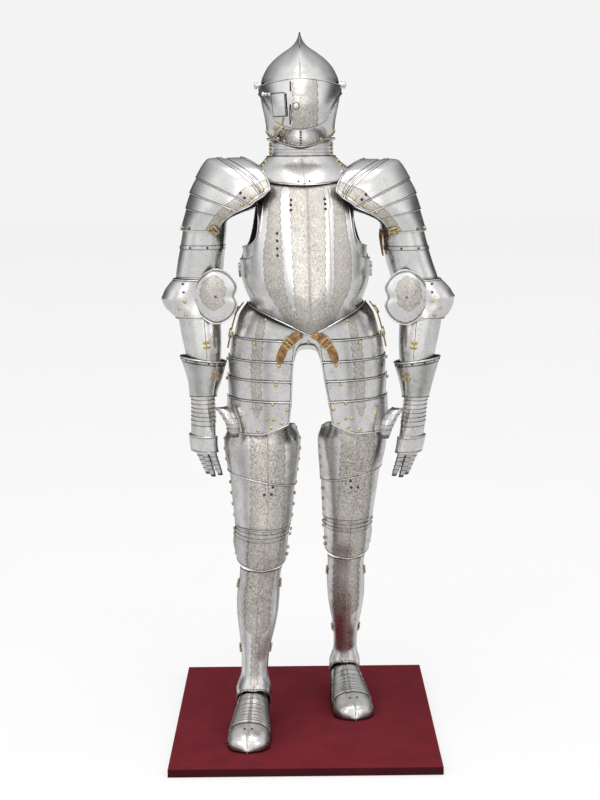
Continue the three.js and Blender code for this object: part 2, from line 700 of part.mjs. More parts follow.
/** A half tube along a line of stations, open towards the palm. */
function scaleTube(side, stations, from, to) {
  const rows = stations.map((row, i) => [i / (stations.length - 1), ...row]);
  const along = table(['s', 'q', 'y', 'h', 'r'], rows);
  const surface = (angle, s) => {
    const { q, y, h, r } = along(s);
    const a = degrees(angle);
    const x = ARMS.x + side.sign * (q + r * Math.sin(a));
    return new THREE.Vector3(x, y - r * Math.cos(a), h - side.drop);
  };
  return wallGeometry({
    surface, us: steps(from, to, 4), vs: steps(1, 0, 2), sign: side.sign, wall: 1.5,
  });
}

const FINGERS = [
  { across: 32, raised: 5, length: 80, radius: 11.5 },
  { across: 11, raised: 12, length: 86, radius: 11.5 },
  { across: -11, raised: 12, length: 82, radius: 11.5 },
  { across: -32, raised: 5, length: 68, radius: 10.5 },
];
const FINGER_TOP = 736;
const FINGER_LEAN = 28; // how far the finger tips hang in towards the thigh

function fingers(side) {
  const knuckles = plate('knuckles', armForm(side), {
    angles: steps(-30, 205, 7), low: 716, high: 756, rows: 1, out: STEP + 2,
  });
  const hand = ARM(FINGER_TOP);
  const turn = degrees(hand.turn);
  const tubes = FINGERS.map(({ across, raised, length, radius }) => {
    const q = hand[`${side.name}Q`] + raised * Math.cos(turn) - across * Math.sin(turn);
    const y = hand.y - raised * Math.sin(turn) - across * Math.cos(turn);
    const stations = [0, 0.35, 0.7, 1].map((t) => [
      q - FINGER_LEAN * t, y - 3 * t, FINGER_TOP - length * t, lerp(radius, 6.5, t),
    ]);
    return scaleTube(side, stations, -75, 175);
  });
  return named(`gauntlet_fingers_${side.name}`, joined([knuckles.geometry, ...tubes]));
}

function thumb(side) {
  const shift = side === LEFT ? 22 : 0;
  const stations = [
    [222, -38, 842, 16],
    [203, -56, 828, 15],
    [189, -70, 806, 14],
    [182, -77, 786, 11],
    [180, -80, 768, 8],
  ].map(([q, y, h, r]) => [q + shift, y, h, r]);
  return named(`gauntlet_thumb_${side.name}`, scaleTube(side, stations, -100, 80));
}

function arm(side) {
  const [upper, lower] = cannons(side);
  return [...pauldron(side), upper, couter(side), lower, ...gauntlet(side)];
}

// ---------------------------------------------------------------- legs

const THIGH_ANGLES = [-86, -62, -38, -17, 4, 28, 52, 76, 104];

/** How far the poleyn's wing stands out at its outer edge. */
const kneeWing = (v, angle) => 9 * Math.exp(-(((v - 0.45) / 0.35) ** 2)) * clamp((angle - 60) / 40, 0, 1);

function leg(side) {
  const form = legForm(side);
  const swept = (angle) => 650 + 18 * Math.sin(degrees(angle));
  const top = oneWay([[-90, 776], [-60, 792], [0, 800], [100, 800]]);
  const knee = bothSides([[0, 422], [50, 430], [100, 440]]);
  const ankle = (angle) => 106 - 38 * Math.sin(degrees(angle)) ** 4;
  return [
    plate(`cuisse_upper_${side.name}`, form, {
      angles: THIGH_ANGLES, low: swept, high: top, rows: 2, out: STEP,
    }),
    plate(`cuisse_lower_${side.name}`, form, {
      angles: THIGH_ANGLES, low: 530, high: swept, rows: 2, tuck: 'high', out: STEP,
    }),
    plate(`poleyn_${side.name}`, form, {
      angles: THIGH_ANGLES, low: knee, high: 530, rows: 3, tuck: 'high', out: STEP, flare: kneeWing,
    }),
    plate(`greave_front_${side.name}`, form, {
      angles: steps(-88, 88, 6), low: ankle, high: 418, rows: 5, out: -STEP,
    }),
    plate(`greave_back_${side.name}`, form, {
      angles: steps(92, 268, 6), low: 4, high: 384, rows: 5, out: -STEP,
    }),
    sabaton(side),
  ];
}

const TOE_OUT = { right: -3, left: 6 };

function sabaton(side) {
  const ankle = LEG(0);
  const surface = (across, d) => {
    const { wide, tall } = FOOT(d);
    const a = degrees(across);
    const point = new THREE.Vector3(wide * Math.sign(a) * Math.abs(Math.sin(a)) ** 0.9, -d, 0);
    point.z = tall * (0.04 + 0.96 * Math.max(0, Math.cos(a)) ** 0.6);
    point.applyAxisAngle(new THREE.Vector3(0, 0, 1), degrees(TOE_OUT[side.name]));
    return point.add(new THREE.Vector3(ankle[`${side.name}X`], ankle[`${side.name}Y`], 0));
  };
  const geometry = wallGeometry({
    surface, us: mirrored([0, 20, 45, 68, 84, 90]), vs: [6, 50, 95, 140, 180, 202, 218, 230].reverse(),
  });
  return named(`sabaton_${side.name}`, geometry);
}

// ---------------------------------------------------------------- assembly

function plinth() {
  const { wide, deep, thick } = PLINTH;
  const mesh = named('plinth', new THREE.BoxGeometry(wide, deep, thick), CLOTH);
  mesh.position.z = thick / 2;
  return mesh;
}

const suit = new THREE.Group();
suit.position.z = PLINTH.thick + SOLE_GAP;
suit.add(helmetSkull(), helmetBevor(), visor(), visorDoor(), ...gorget());
suit.add(breastplate(), backplate(), fauld(), culet());
for (const side of [RIGHT, LEFT]) {
  suit.add(gusset(side), ...tasset(side), tassetStrap(side), ...arm(side), ...leg(side));
}

const armour = new THREE.Group();
armour.add(plinth(), suit);

export default armour;
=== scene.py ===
"""Looks of a suit of plate armour, standing in stride on a low cloth-covered plinth.

Every plate is laid on the same forms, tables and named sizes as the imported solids, in
millimetres above the soles, at a finer pitch. Rims, lame lines, rivets, buckles, hinges and
etched bands are added here. Lengths are turned into metres only when a mesh is made.
"""

from __future__ import annotations

import logging
import math
from dataclasses import dataclass, field
from enum import Enum
from typing import Any, Callable, Optional, Sequence, Union

import bpy
import numpy as np
from mathutils import Euler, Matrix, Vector

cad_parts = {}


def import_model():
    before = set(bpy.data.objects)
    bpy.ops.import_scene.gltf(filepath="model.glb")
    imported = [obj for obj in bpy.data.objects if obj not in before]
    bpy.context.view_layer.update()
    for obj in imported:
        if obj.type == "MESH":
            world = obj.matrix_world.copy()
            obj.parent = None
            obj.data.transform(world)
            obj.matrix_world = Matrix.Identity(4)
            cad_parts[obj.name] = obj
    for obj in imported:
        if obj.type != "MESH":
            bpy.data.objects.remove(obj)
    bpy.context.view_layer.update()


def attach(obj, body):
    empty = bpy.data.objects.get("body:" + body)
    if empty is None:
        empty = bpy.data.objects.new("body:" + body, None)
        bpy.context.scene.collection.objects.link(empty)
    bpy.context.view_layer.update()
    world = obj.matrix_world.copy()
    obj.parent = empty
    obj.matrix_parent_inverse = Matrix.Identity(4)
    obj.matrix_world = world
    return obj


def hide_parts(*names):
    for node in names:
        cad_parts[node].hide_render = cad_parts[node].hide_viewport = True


LOG = logging.getLogger("armour")

Array = np.ndarray
Form = Callable[[Array, Array], Array]
Edge = Union[float, Callable[[Array], Array]]
Band = Callable[[Array, Array, Array], Sequence[Array]]
Colour = tuple[float, float, float, float]
Pairs = Sequence[tuple[float, float]]
Material = bpy.types.Material
Object = bpy.types.Object

MM = 0.001
SOLE_HEIGHT = 22.3
WALL = 1.8
SEAM = 1.2
STEP = WALL + SEAM
LAP = 14.0
LAME_GAP = 0.004


# Tables and curves


class Curve:
    """Monotone cubic through keyed values, flat beyond both ends."""

    def __init__(self, keys: Sequence[float], values: Sequence[float]) -> None:
        """Works out the slope at every key.

        Args:
            keys: Keys in rising order.
            values: The value at each key.
        """
        self.keys = np.asarray(keys, float)
        self.values = np.asarray(values, float)
        rise = np.diff(self.values) / np.diff(self.keys)
        self.slopes = np.zeros(len(self.keys))
        before, after = rise[:-1], rise[1:]
        same = before * after > 0
        self.slopes[1:-1][same] = 2 * before[same] * after[same] / (before[same] + after[same])

    def __call__(self, key: Union[float, Array]) -> Array:
        """Returns the curve's value at a key or an array of keys."""
        k = np.clip(np.asarray(key, float), self.keys[0], self.keys[-1])
        i = np.clip(np.searchsorted(self.keys, k, side="right") - 1, 0, len(self.keys) - 2)
        span = self.keys[i + 1] - self.keys[i]
        t = (k - self.keys[i]) / span
        a = 2 * t**3 - 3 * t**2 + 1
        b = t**3 - 2 * t**2 + t
        d = t**3 - t**2
        level = a * self.values[i] + (1 - a) * self.values[i + 1]
        return level + span * (b * self.slopes[i] + d * self.slopes[i + 1])


class Table:
    """Rows of named columns, the first one the key in rising order."""

    def __init__(self, names: str, rows: Sequence[Sequence[float]]) -> None:
        """Makes one curve for each named column.

        Args:
            names: Column names, with spaces between them.
            rows: The rows, each one a key and its values.
        """
        columns = list(zip(*rows))
        self.curves = {n: Curve(columns[0], c) for n, c in zip(names.split()[1:], columns[1:])}

    def __call__(self, key: Union[float, Array]) -> dict[str, Array]:
        """Returns every column's value at a key, by name."""
        return {name: curve(key) for name, curve in self.curves.items()}


def both_sides(*pairs: tuple[float, float]) -> Callable[[Array], Array]:
    """Returns a curve over the angle from the front, the same on both sides."""
    curve = Curve(*zip(*pairs))
    return lambda angle: curve(np.abs(angle))


def spread(*stops: float, pitch: float) -> Array:
    """Stations that include every stop, no further apart than the pitch.

    Args:
        stops: Values in rising order that must each be a station.
        pitch: Largest gap between stations.

    Returns:
        The stations in rising order.
    """
    parts = []
    for a, b in zip(stops, stops[1:]):
        count = max(1, math.ceil((b - a) / pitch - 1e-6))
        parts.append(np.linspace(a, b, count, endpoint=False))
    return np.append(np.concatenate(parts), stops[-1])


def centre_band(middle: float, half: Edge) -> Band:
    """An etched band that runs up the front of a plate.

    Args:
        middle: How far the band's middle line lies to the suit's left of the front line.
        half: Its half width, or a curve of it over the height.

    Returns:
        The band.
    """

    def at(angle: Array, h: Array, points: Array) -> Sequence[Array]:
        """Returns the distance across and along the band, and its half width."""
        column = int(np.argmin(np.abs(angle[:, 0])))
        line = points[column:column + 1, :, 0] + middle
        return points[..., 0] - line, h, value_at(half, h)

    return at


def arc_band(middle: Edge, half: Edge, radius: float, mirrored: bool = True) -> Band:
    """An etched band that follows an angle up a plate.

    Args:
        middle: Angle of its middle line, or a curve of it over the height.
        half: Its half width, or a curve of it over the height.
        radius: Distance from the form's axis to its skin.
        mirrored: Puts one band on each side of the front.

    Returns:
        The band.
    """

    def at(angle: Array, h: Array, points: Array) -> Sequence[Array]:
        """Returns the distance across and along the band, and its half width."""
        aside = np.abs(angle) if mirrored else angle
        return np.radians(aside - value_at(middle, h)) * radius, h, value_at(half, h)

    return at


def nearest_band(*bands: Band) -> Band:
    """Returns a band that is, at every point, the one of several bands that the point is deepest in."""

    def at(angle: Array, h: Array, points: Array) -> Sequence[Array]:
        """Returns the distance across and along the chosen band, and its half width."""
        found = [np.broadcast_arrays(*band(angle, h, points)) for band in bands]
        pick = np.argmax(np.stack([half - np.abs(across) for across, _, half in found]), axis=0)
        return [np.choose(pick, [marks[i] for marks in found]) for i in range(3)]

    return at


def bell(x: Array, centre: float, width: float) -> Array:
    """Returns a bell curve one high, with the given half width at its shoulders."""
    return np.exp(-(((x - centre) / width) ** 2))


# Sections and forms


@dataclass(frozen=True)
class Side:
    """One side of the suit, named as its wearer would."""

    name: str
    sign: int
    drop: float


RIGHT = Side("right", -1, 0.0)
LEFT = Side("left", 1, 7.0)

TORSO = (0.0, 50.0)
NECK = (5.0, 52.0)
PIVOT = (4.0, 60.0, 1652.0)
ARMS_X = 9.0
SKIRT_AXIS = (15.0, 50.0)
RIDGE_SHIFT_BODY = 9.0
RIDGE_SHIFT_GORGET = 6.0
GORGET_TOP = 1476.0
WAIST_POINT = 1040.0
WAIST_RISE = 62.0
SHOULDER_Y = 56.0
GIRTH = {"right": 1.05, "left": 0.96}

HELMET = Table("h wide front back full keel", [
    (1496, 86, 94, 84, 1, 3),
    (1515, 85.5, 112, 85, 1, 5),
    (1530, 86, 132, 87, 1, 6),
    (1548, 87, 152, 94, 1, 7),
    (1570, 90, 161, 108, 1, 7),
    (1597, 95.5, 165, 122, 1, 7),
    (1617, 99.5, 162, 129, 1, 7),
    (1637, 102, 153, 132, 1, 6),
    (1652, 102.5, 144, 133, 1, 6),
    (1668, 99.5, 133, 132, 1, 6),
    (1677, 96, 129, 129, 1.04, 6),
    (1697, 85.5, 122, 122, 1.1, 8),
    (1717, 68, 110, 112, 1.16, 10),
    (1736, 44, 92, 96, 1.25, 12),
    (1752, 20.5, 72, 78, 1.3, 12),
    (1766, 9.5, 54, 60, 1.2, 8),
    (1777, 5.2, 34, 42, 1.1, 4),
    (1784.5, 4, 14, 22, 1, 0),
])

BODY = Table("h x wide front back full keel", [
    (1036, 15, 128, 190, 86, 0.95, 10),
    (1060, 15, 131, 206, 87, 0.95, 11),
    (1084, 14.5, 137, 214, 88, 0.95, 12),
    (1103, 14.5, 143, 215, 90, 0.95, 12),
    (1125, 14, 152, 214, 93, 0.92, 12),
    (1150, 13.5, 161, 210, 97, 0.9, 11),
    (1182, 13, 167, 203, 103, 0.9, 10),
    (1240, 12, 168, 189, 111, 0.9, 9),
    (1300, 11, 167, 172, 116, 0.9, 8),
    (1350, 10, 164, 156, 116, 0.9, 7),
    (1385, 9.5, 156, 144, 112, 0.9, 6),
    (1405, 9, 144, 134, 105, 0.92, 5),
    (1420, 8.5, 128, 120, 94, 0.95, 4),
    (1434, 8, 104, 98, 80, 1, 3),
])

GORGET = Table("h wide front back keel", [
    (1402, 148, 149, 122, 5),
    (1412, 145, 144, 120, 4),
    (1428, 138, 131, 112, 3),
    (1444, 121, 115, 101, 2),
    (1456, 105, 100, 92, 1),
    (1467, 94, 92, 90, 0),
    (GORGET_TOP, 88, 87, 86, 0),
])

COLLAR = Table("h radius", [
    (1452, 84),
    (1466, 81.5),
    (1485, 79.5),
    (1502, 79),
    (1509, 80.5),
    (1514, 83.5),
    (1517.5, 85.5),
])

SKIRT = Table("h wide front back full", [
    (760, 213, 176, 150, 0.85),
    (842, 210, 178, 155, 0.85),
    (900, 209, 182, 157, 0.86),
    (956, 206, 189, 157, 0.88),
    (1000, 199, 198, 152, 0.9),
    (1036, 191, 205, 145, 0.92),
    (1072, 179, 206, 132, 0.93),
    (1092, 166, 202, 116, 0.94),
    (1106, 156, 198, 102, 0.95),
])

ARM = Table("h rightQ leftQ y wide front back turn", [
    (700, 262, 268, 14, 23, 42, 42, 40),
    (740, 267, 275, 16, 24, 43, 43, 40),
    (775, 267, 280, 20, 27, 44, 43, 34),
    (810, 266, 284, 25, 29, 42, 42, 26),
    (860, 266, 289, 32, 32, 36, 36, 10),
    (905, 262, 291, 38, 38, 42, 42, 0),
    (965, 264, 293, 44, 46, 50, 48, 0),
    (1020, 269, 299, 52, 52, 55, 54, 0),
    (1070, 273, 304, 58, 55, 57, 58, 0),
    (1112, 272, 294, 62, 55, 54, 60, 0),
    (1160, 272, 289, 61, 61, 56, 58, 0),
    (1206, 267, 275, 60, 60, 58, 59, 0),
    (1246, 261, 265, 58, 58, 60, 60, 0),
    (1310, 254, 254, 56, 56, 60, 60, 0),
])

LEG = Table("h rightX rightY leftX leftY turn wide front back full", [
    (0, -134, -60, 111, 157, 0, 38, 52, 70, 0.95),
    (30, -134, -60, 111, 157, 0, 43, 56, 72, 0.95),
    (60, -134, -60, 111, 157, 0, 46, 60, 62, 0.95),
    (95, -134, -60, 111.5, 156, 0, 47, 62, 52, 0.95),
    (112, -133, -59, 112, 152, 0, 42, 53, 48, 0.97),
    (137, -131, -57, 113, 144, 0, 36, 42, 47, 1),
    (168, -129.5, -54, 113.5, 133, 0, 36.5, 42, 51, 1),
    (212, -127, -50, 114, 118, 0, 41, 46, 60, 1),
    (256, -123.5, -46, 114.5, 107, 0, 48.5, 50, 70, 1),
    (303, -121, -42, 114.5, 96, 0, 54.5, 54, 78, 1),
    (345, -118.5, -40, 114, 88, 0, 56, 57, 78, 1),
    (390, -114, -38, 114, 80, 1, 53.5, 60, 68, 1),
    (433, -109, -36, 116, 74, 3, 57, 70, 60, 1),
    (465, -108, -34, 117, 70, 4, 60.5, 80, 62, 1),
    (497, -107, -32, 117, 67, 5, 63.5, 84, 64, 1),
    (541, -104, -26, 119, 62, 7, 68, 87, 68, 1),
    (600, -103.5, -14, 122, 59, 8, 75.5, 90, 76, 1),
    (650, -103, -5, 125, 57, 8, 81, 93, 82, 1),
    (740, -104, 12, 131, 54, 8, 92, 97, 92, 1),
    (780, -103, 18, 131, 53, 8, 80, 92, 86, 1),
    (830, -100, 30, 131, 50, 8, 76, 90, 84, 1),
])

SHOULDER = Table("row crestQ crestH frontQ frontH frontY backQ backH backY bow", [
    (0, 152, 1473, 81, 1376, -105, 76, 1371, 186, 1.9),
    (1, 180, 1473, 87, 1370, -106, 80, 1362, 192, 1.8),
    (2, 210, 1473, 98, 1358, -105, 90, 1348, 196, 1.6),
    (3, 241, 1471, 110, 1351, -102, 100, 1337, 194, 1.3),
    (4, 276, 1424, 122, 1344, -97, 116, 1327, 186, 1.15),
    (5, 293, 1385, 153, 1333, -85, 150, 1320, 172, 1.1),
    (6, 304, 1345, 182, 1318, -66, 182, 1310, 154, 1.06),
    (7, 318, 1290, 213, 1287, -34, 213, 1285, 134, 1),
])

FOOT = Table("d wide tall", [
    (6, 40, 103),
    (46, 43, 98),
    (95, 49, 76),
    (140, 53, 60),
    (180, 54.5, 49),
    (202, 48, 40),
    (218, 34, 29),
    (230, 0.01, 5),
])


def on_section(row: dict[str, Array], angle: Array) -> tuple[Array, Array]:
    """Point on a flattened round section.

    Args:
        row: The section's half width, front and back depths, fullness and keel.
        angle: Degrees round from the front; a quarter turn is the outward side.

    Returns:
        The distance outward and the depth, front negative.
    """
    s, c = np.sin(np.radians(angle)), np.cos(np.radians(angle))
    full, keel = row.get("full", 1.0), row.get("keel", 0.0)
    q = row["wide"] * np.sign(s) * np.abs(s) ** full
    ridge = keel * np.maximum(0, 1 - np.abs(q) / (0.45 * row["wide"])) * (np.abs(c) > 0.5)
    behind = ridge * ((np.asarray(keel) > 8) & (np.asarray(full) > 1.15))
    depth = np.where(c > 0, row["front"] + ridge, row["back"] + behind)
    return q, -depth * np.sign(c) * np.abs(c) ** full


def stack(x: Array, y: Array, h: Array) -> Array:
    """Returns points from their coordinates, with heights above the soles made heights in the frame."""
    x, y, h = np.broadcast_arrays(x, y, h)
    return np.stack([x, y, h + SOLE_HEIGHT], axis=-1)


def helmet_form(angle: Array, h: Array) -> Array:
    """Returns points on the helmet, round its pivots."""
    q, y = on_section(HELMET(h), angle)
    return stack(PIVOT[0] + q, PIVOT[1] + y, h)


def body_form(angle: Array, h: Array) -> Array:
    """Returns points on the cuirass, its ridge a little to the suit's left."""
    row = BODY(h)
    q, y = on_section(row, angle)
    shift = RIDGE_SHIFT_BODY * np.maximum(0, np.cos(np.radians(angle))) ** 2
    return stack(TORSO[0] + row["x"] + q + shift, TORSO[1] + y, h)


def gorget_form(angle: Array, h: Array) -> Array:
    """Returns points on the gorget's spreading plate."""
    q, y = on_section(GORGET(h), angle)
    share = (GORGET_TOP - h) / 74
    shift = 3 + RIDGE_SHIFT_GORGET * np.maximum(0, np.cos(np.radians(angle))) ** 2
    return stack(NECK[0] + q + share * shift, NECK[1] + y, h)


def collar_form(angle: Array, h: Array) -> Array:
    """Returns points on the upright round collar."""
    radius, a = COLLAR(h)["radius"], np.radians(angle)
    return stack(NECK[0] + radius * np.sin(a), NECK[1] - radius * np.cos(a), h)


def skirt_form(angle: Array, h: Array) -> Array:
    """Returns points on the skirt that the fauld, culet and tassets share."""
    q, y = on_section(SKIRT(h), angle)
    return stack(SKIRT_AXIS[0] + q, SKIRT_AXIS[1] + y, h)


def waist_line(angle: Array) -> Array:
    """Returns the height of the cuirass's pointed waist at an angle."""
    return WAIST_POINT + WAIST_RISE * np.abs(np.sin(np.radians(np.clip(angle, -90, 90)))) ** 0.95


def skirt_turn(q: Array, h: Array) -> Array:
    """Returns the angle at which the skirt stands a distance out from its middle."""
    section = SKIRT(h)
    return np.degrees(np.arcsin((q / section["wide"]) ** (1 / section["full"])))


def arm_form(side: Side) -> Form:
    """Returns the form of one arm, turned with the hand below the wrist."""

    def at(angle: Array, h: Array) -> Array:
        """Returns points on the arm."""
        row = ARM(h)
        q, y = on_section(row, angle)
        turn = np.radians(row["turn"])
        out = row[f"{side.name}Q"] + q * np.cos(turn) + y * np.sin(turn)
        deep = row["y"] - q * np.sin(turn) + y * np.cos(turn)
        return stack(ARMS_X + side.sign * out, deep, h - side.drop)

    return at


def leg_form(side: Side, ridge: float = 0.0) -> Form:
    """The form of one leg.

    Args:
        side: Which leg.
        ridge: How far a crease stands out down the middle of the front.

    Returns:
        The form.
    """

    def at(angle: Array, h: Array) -> Array:
        """Returns points on the leg."""
        row = LEG(h)
        q, y = on_section(row, angle)
        y = y - ridge * np.maximum(0, 1 - np.abs(angle) / 24)
        girth, turn = GIRTH[side.name], np.radians(row["turn"])
        x, y = side.sign * q * girth, y * girth
        across = x * np.cos(turn) - y * np.sin(turn)
        deep = x * np.sin(turn) + y * np.cos(turn)
        return stack(row[f"{side.name}X"] + across, row[f"{side.name}Y"] + deep, h)

    return at


def shoulder_form(side: Side) -> Form:
    """Returns the form of the hoops over one shoulder: the first argument is the angle, then the row."""

    def at(angle: Array, row: Array) -> Array:
        """Returns points on the shoulder."""
        hoop = SHOULDER(row)
        front = np.asarray(angle) < 0
        rise = np.maximum(0.01, np.cos(np.radians(angle)))
        aside = np.abs(np.sin(np.radians(angle)))
        end_q = np.where(front, hoop["frontQ"], hoop["backQ"])
        end_h = np.where(front, hoop["frontH"], hoop["backH"])
        end_y = np.where(front, hoop["frontY"], hoop["backY"])
        q = end_q + (hoop["crestQ"] - end_q) * rise ** hoop["bow"]
        h = end_h + (hoop["crestH"] - end_h) * rise ** (hoop["bow"] ** -0.5)
        y = SHOULDER_Y + (end_y - SHOULDER_Y) * aside
        return stack(ARMS_X + side.sign * q, y, h - side.drop)

    return at


# Shader maths


class Sock:
    """A shader socket or number that is used in Python expressions."""

    def __init__(self, shader: "Shader", link: Any) -> None:
        """Wraps a socket or a number of one shader."""
        self.shader, self.link = shader, link

    def _math(self, operation: str, *others: Any) -> "Sock":
        """Returns the result of a Math node on this value and the others."""
        values = {i: v for i, v in enumerate((self, *others))}
        return self.shader.node("ShaderNodeMath", {"operation": operation}, values)

    def __add__(self, other: Any) -> "Sock":
        """Returns the sum."""
        return self._math("ADD", other)

    __radd__ = __add__

    def __sub__(self, other: Any) -> "Sock":
        """Returns the difference."""
        return self._math("SUBTRACT", other)

    def __rsub__(self, other: Any) -> "Sock":
        """Returns the difference, taken from a number."""
        return Sock(self.shader, other)._math("SUBTRACT", self)

    def __mul__(self, other: Any) -> "Sock":
        """Returns the product."""
        return self._math("MULTIPLY", other)

    __rmul__ = __mul__

    def __truediv__(self, other: Any) -> "Sock":
        """Returns the quotient."""
        return self._math("DIVIDE", other)

    def __neg__(self) -> "Sock":
        """Returns the value with its sign changed."""
        return self._math("MULTIPLY", -1.0)

    def __abs__(self) -> "Sock":
        """Returns the size of the value."""
        return self._math("ABSOLUTE")

    def sin(self) -> "Sock":
        """Returns the sine."""
        return self._math("SINE")

    def fraction(self) -> "Sock":
        """Returns the part after the decimal point."""
        return self._math("FRACT")

    def arctan2(self, other: Any) -> "Sock":
        """Returns the angle whose tangent is this value over another."""
        return self._math("ARCTAN2", other)

    def power(self, exponent: float) -> "Sock":
        """Returns the value raised to a power."""
        return self._math("POWER", exponent)

    def highest(self, other: Any) -> "Sock":
        """Returns the larger of two values."""
        return self._math("MAXIMUM", other)

    def lowest(self, other: Any) -> "Sock":
        """Returns the smaller of two values."""
        return self._math("MINIMUM", other)

    def ramp(self, low: float, high: float, to_low: float = 0.0, to_high: float = 1.0) -> "Sock":
        """Returns the value moved from one range to another, clamped at both ends."""
        values = {"Value": self, "From Min": low, "From Max": high, "To Min": to_low, "To Max": to_high}
        return self.shader.node("ShaderNodeMapRange", {"clamp": True}, values)


class Shader:
    """Builds one material's node tree."""

    def __init__(self, name: str) -> None:
        """Makes an empty material with an output node."""
        self.material = bpy.data.materials.new(name)
        self.material.use_nodes = True
        self.start(self.material.node_tree, "ShaderNodeOutputMaterial")

    def start(self, tree: bpy.types.NodeTree, output: str) -> None:
        """Empties a node tree and gives it an output node."""
        self.tree = tree
        self.tree.nodes.clear()
        self.output = self.tree.nodes.new(output)

    @classmethod
    def of_tree(cls, tree: bpy.types.NodeTree, output: str) -> "Shader":
        """Returns a builder for a node tree that is no material's."""
        made = cls.__new__(cls)
        made.start(tree, output)
        return made

    def node(self, kind: str, settings: dict[str, Any], values: dict[Any, Any], out: Any = 0) -> Sock:
        """Adds a node.

        Args:
            kind: The node's type.
            settings: Properties, which are set first.
            values: Values or links of its input sockets, by name or place.
            out: Name or place of the output that is wanted.

        Returns:
            The wanted output.
        """
        node = self.tree.nodes.new(kind)
        for key, value in settings.items():
            setattr(node, key, value)
        for key, value in values.items():
            self.feed(node.inputs[key], value)
        return Sock(self, node.outputs[out])

    def feed(self, socket: Any, value: Any) -> None:
        """Links or sets one input socket."""
        source = value.link if isinstance(value, Sock) else value
        if isinstance(source, bpy.types.NodeSocket):
            self.tree.links.new(source, socket)
        else:
            socket.default_value = source

    def place(self) -> Sock:
        """Returns Object coordinates."""
        return self.node("ShaderNodeTexCoord", {}, {}, "Object")

    def axes(self, where: Sock) -> list[Sock]:
        """Returns the three parts of a vector."""
        node = self.node("ShaderNodeSeparateXYZ", {}, {0: where}).link.node
        return [Sock(self, output) for output in node.outputs]

    def attribute(self, name: str) -> Sock:
        """Returns a mesh attribute."""
        return self.node("ShaderNodeAttribute", {"attribute_name": name}, {}, "Fac")

    def noise(self, where: Sock, scale: float, detail: float = 3.0, rough: float = 0.55) -> Sock:
        """Returns fractal noise between 0 and 1."""
        values = {"Vector": where, "Scale": scale, "Detail": detail, "Roughness": rough}
        return self.node("ShaderNodeTexNoise", {}, values, "Fac")

    def cells(self, where: Sock, scale: float) -> Sock:
        """Returns the distance to the nearest of scattered points."""
        return self.node("ShaderNodeTexVoronoi", {}, {"Vector": where, "Scale": scale}, "Distance")

    def mix(self, share: Any, a: Any, b: Any) -> Sock:
        """Returns a colour between two colours."""
        settings = {"data_type": "RGBA"}
        return self.node("ShaderNodeMix", settings, {0: share, 6: a, 7: b}, 2)

    def bump(self, height: Sock, depth: float, strength: float = 1.0, normal: Optional[Sock] = None) -> Sock:
        """Returns a normal bent by a height, its depth in metres."""
        values: dict[str, Any] = {"Height": height, "Distance": depth, "Strength": strength}
        if normal is not None:
            values["Normal"] = normal
        return self.node("ShaderNodeBump", {}, values)

    def surface(self, **sockets: Any) -> Material:
        """Finishes the material with one principled surface.

        Args:
            **sockets: Principled inputs, with underscores for spaces.

        Returns:
            The material.
        """
        values = {key.replace("_", " "): value for key, value in sockets.items()}
        shell = self.node("ShaderNodeBsdfPrincipled", {}, values)
        self.tree.links.new(shell.link, self.output.inputs["Surface"])
        return self.material


def grey(level: float, warm: float = 0.0) -> Colour:
    """Returns a grey, made warmer by a share of its level."""
    return (level * (1 + warm), level, level * (1 - warm), 1.0)


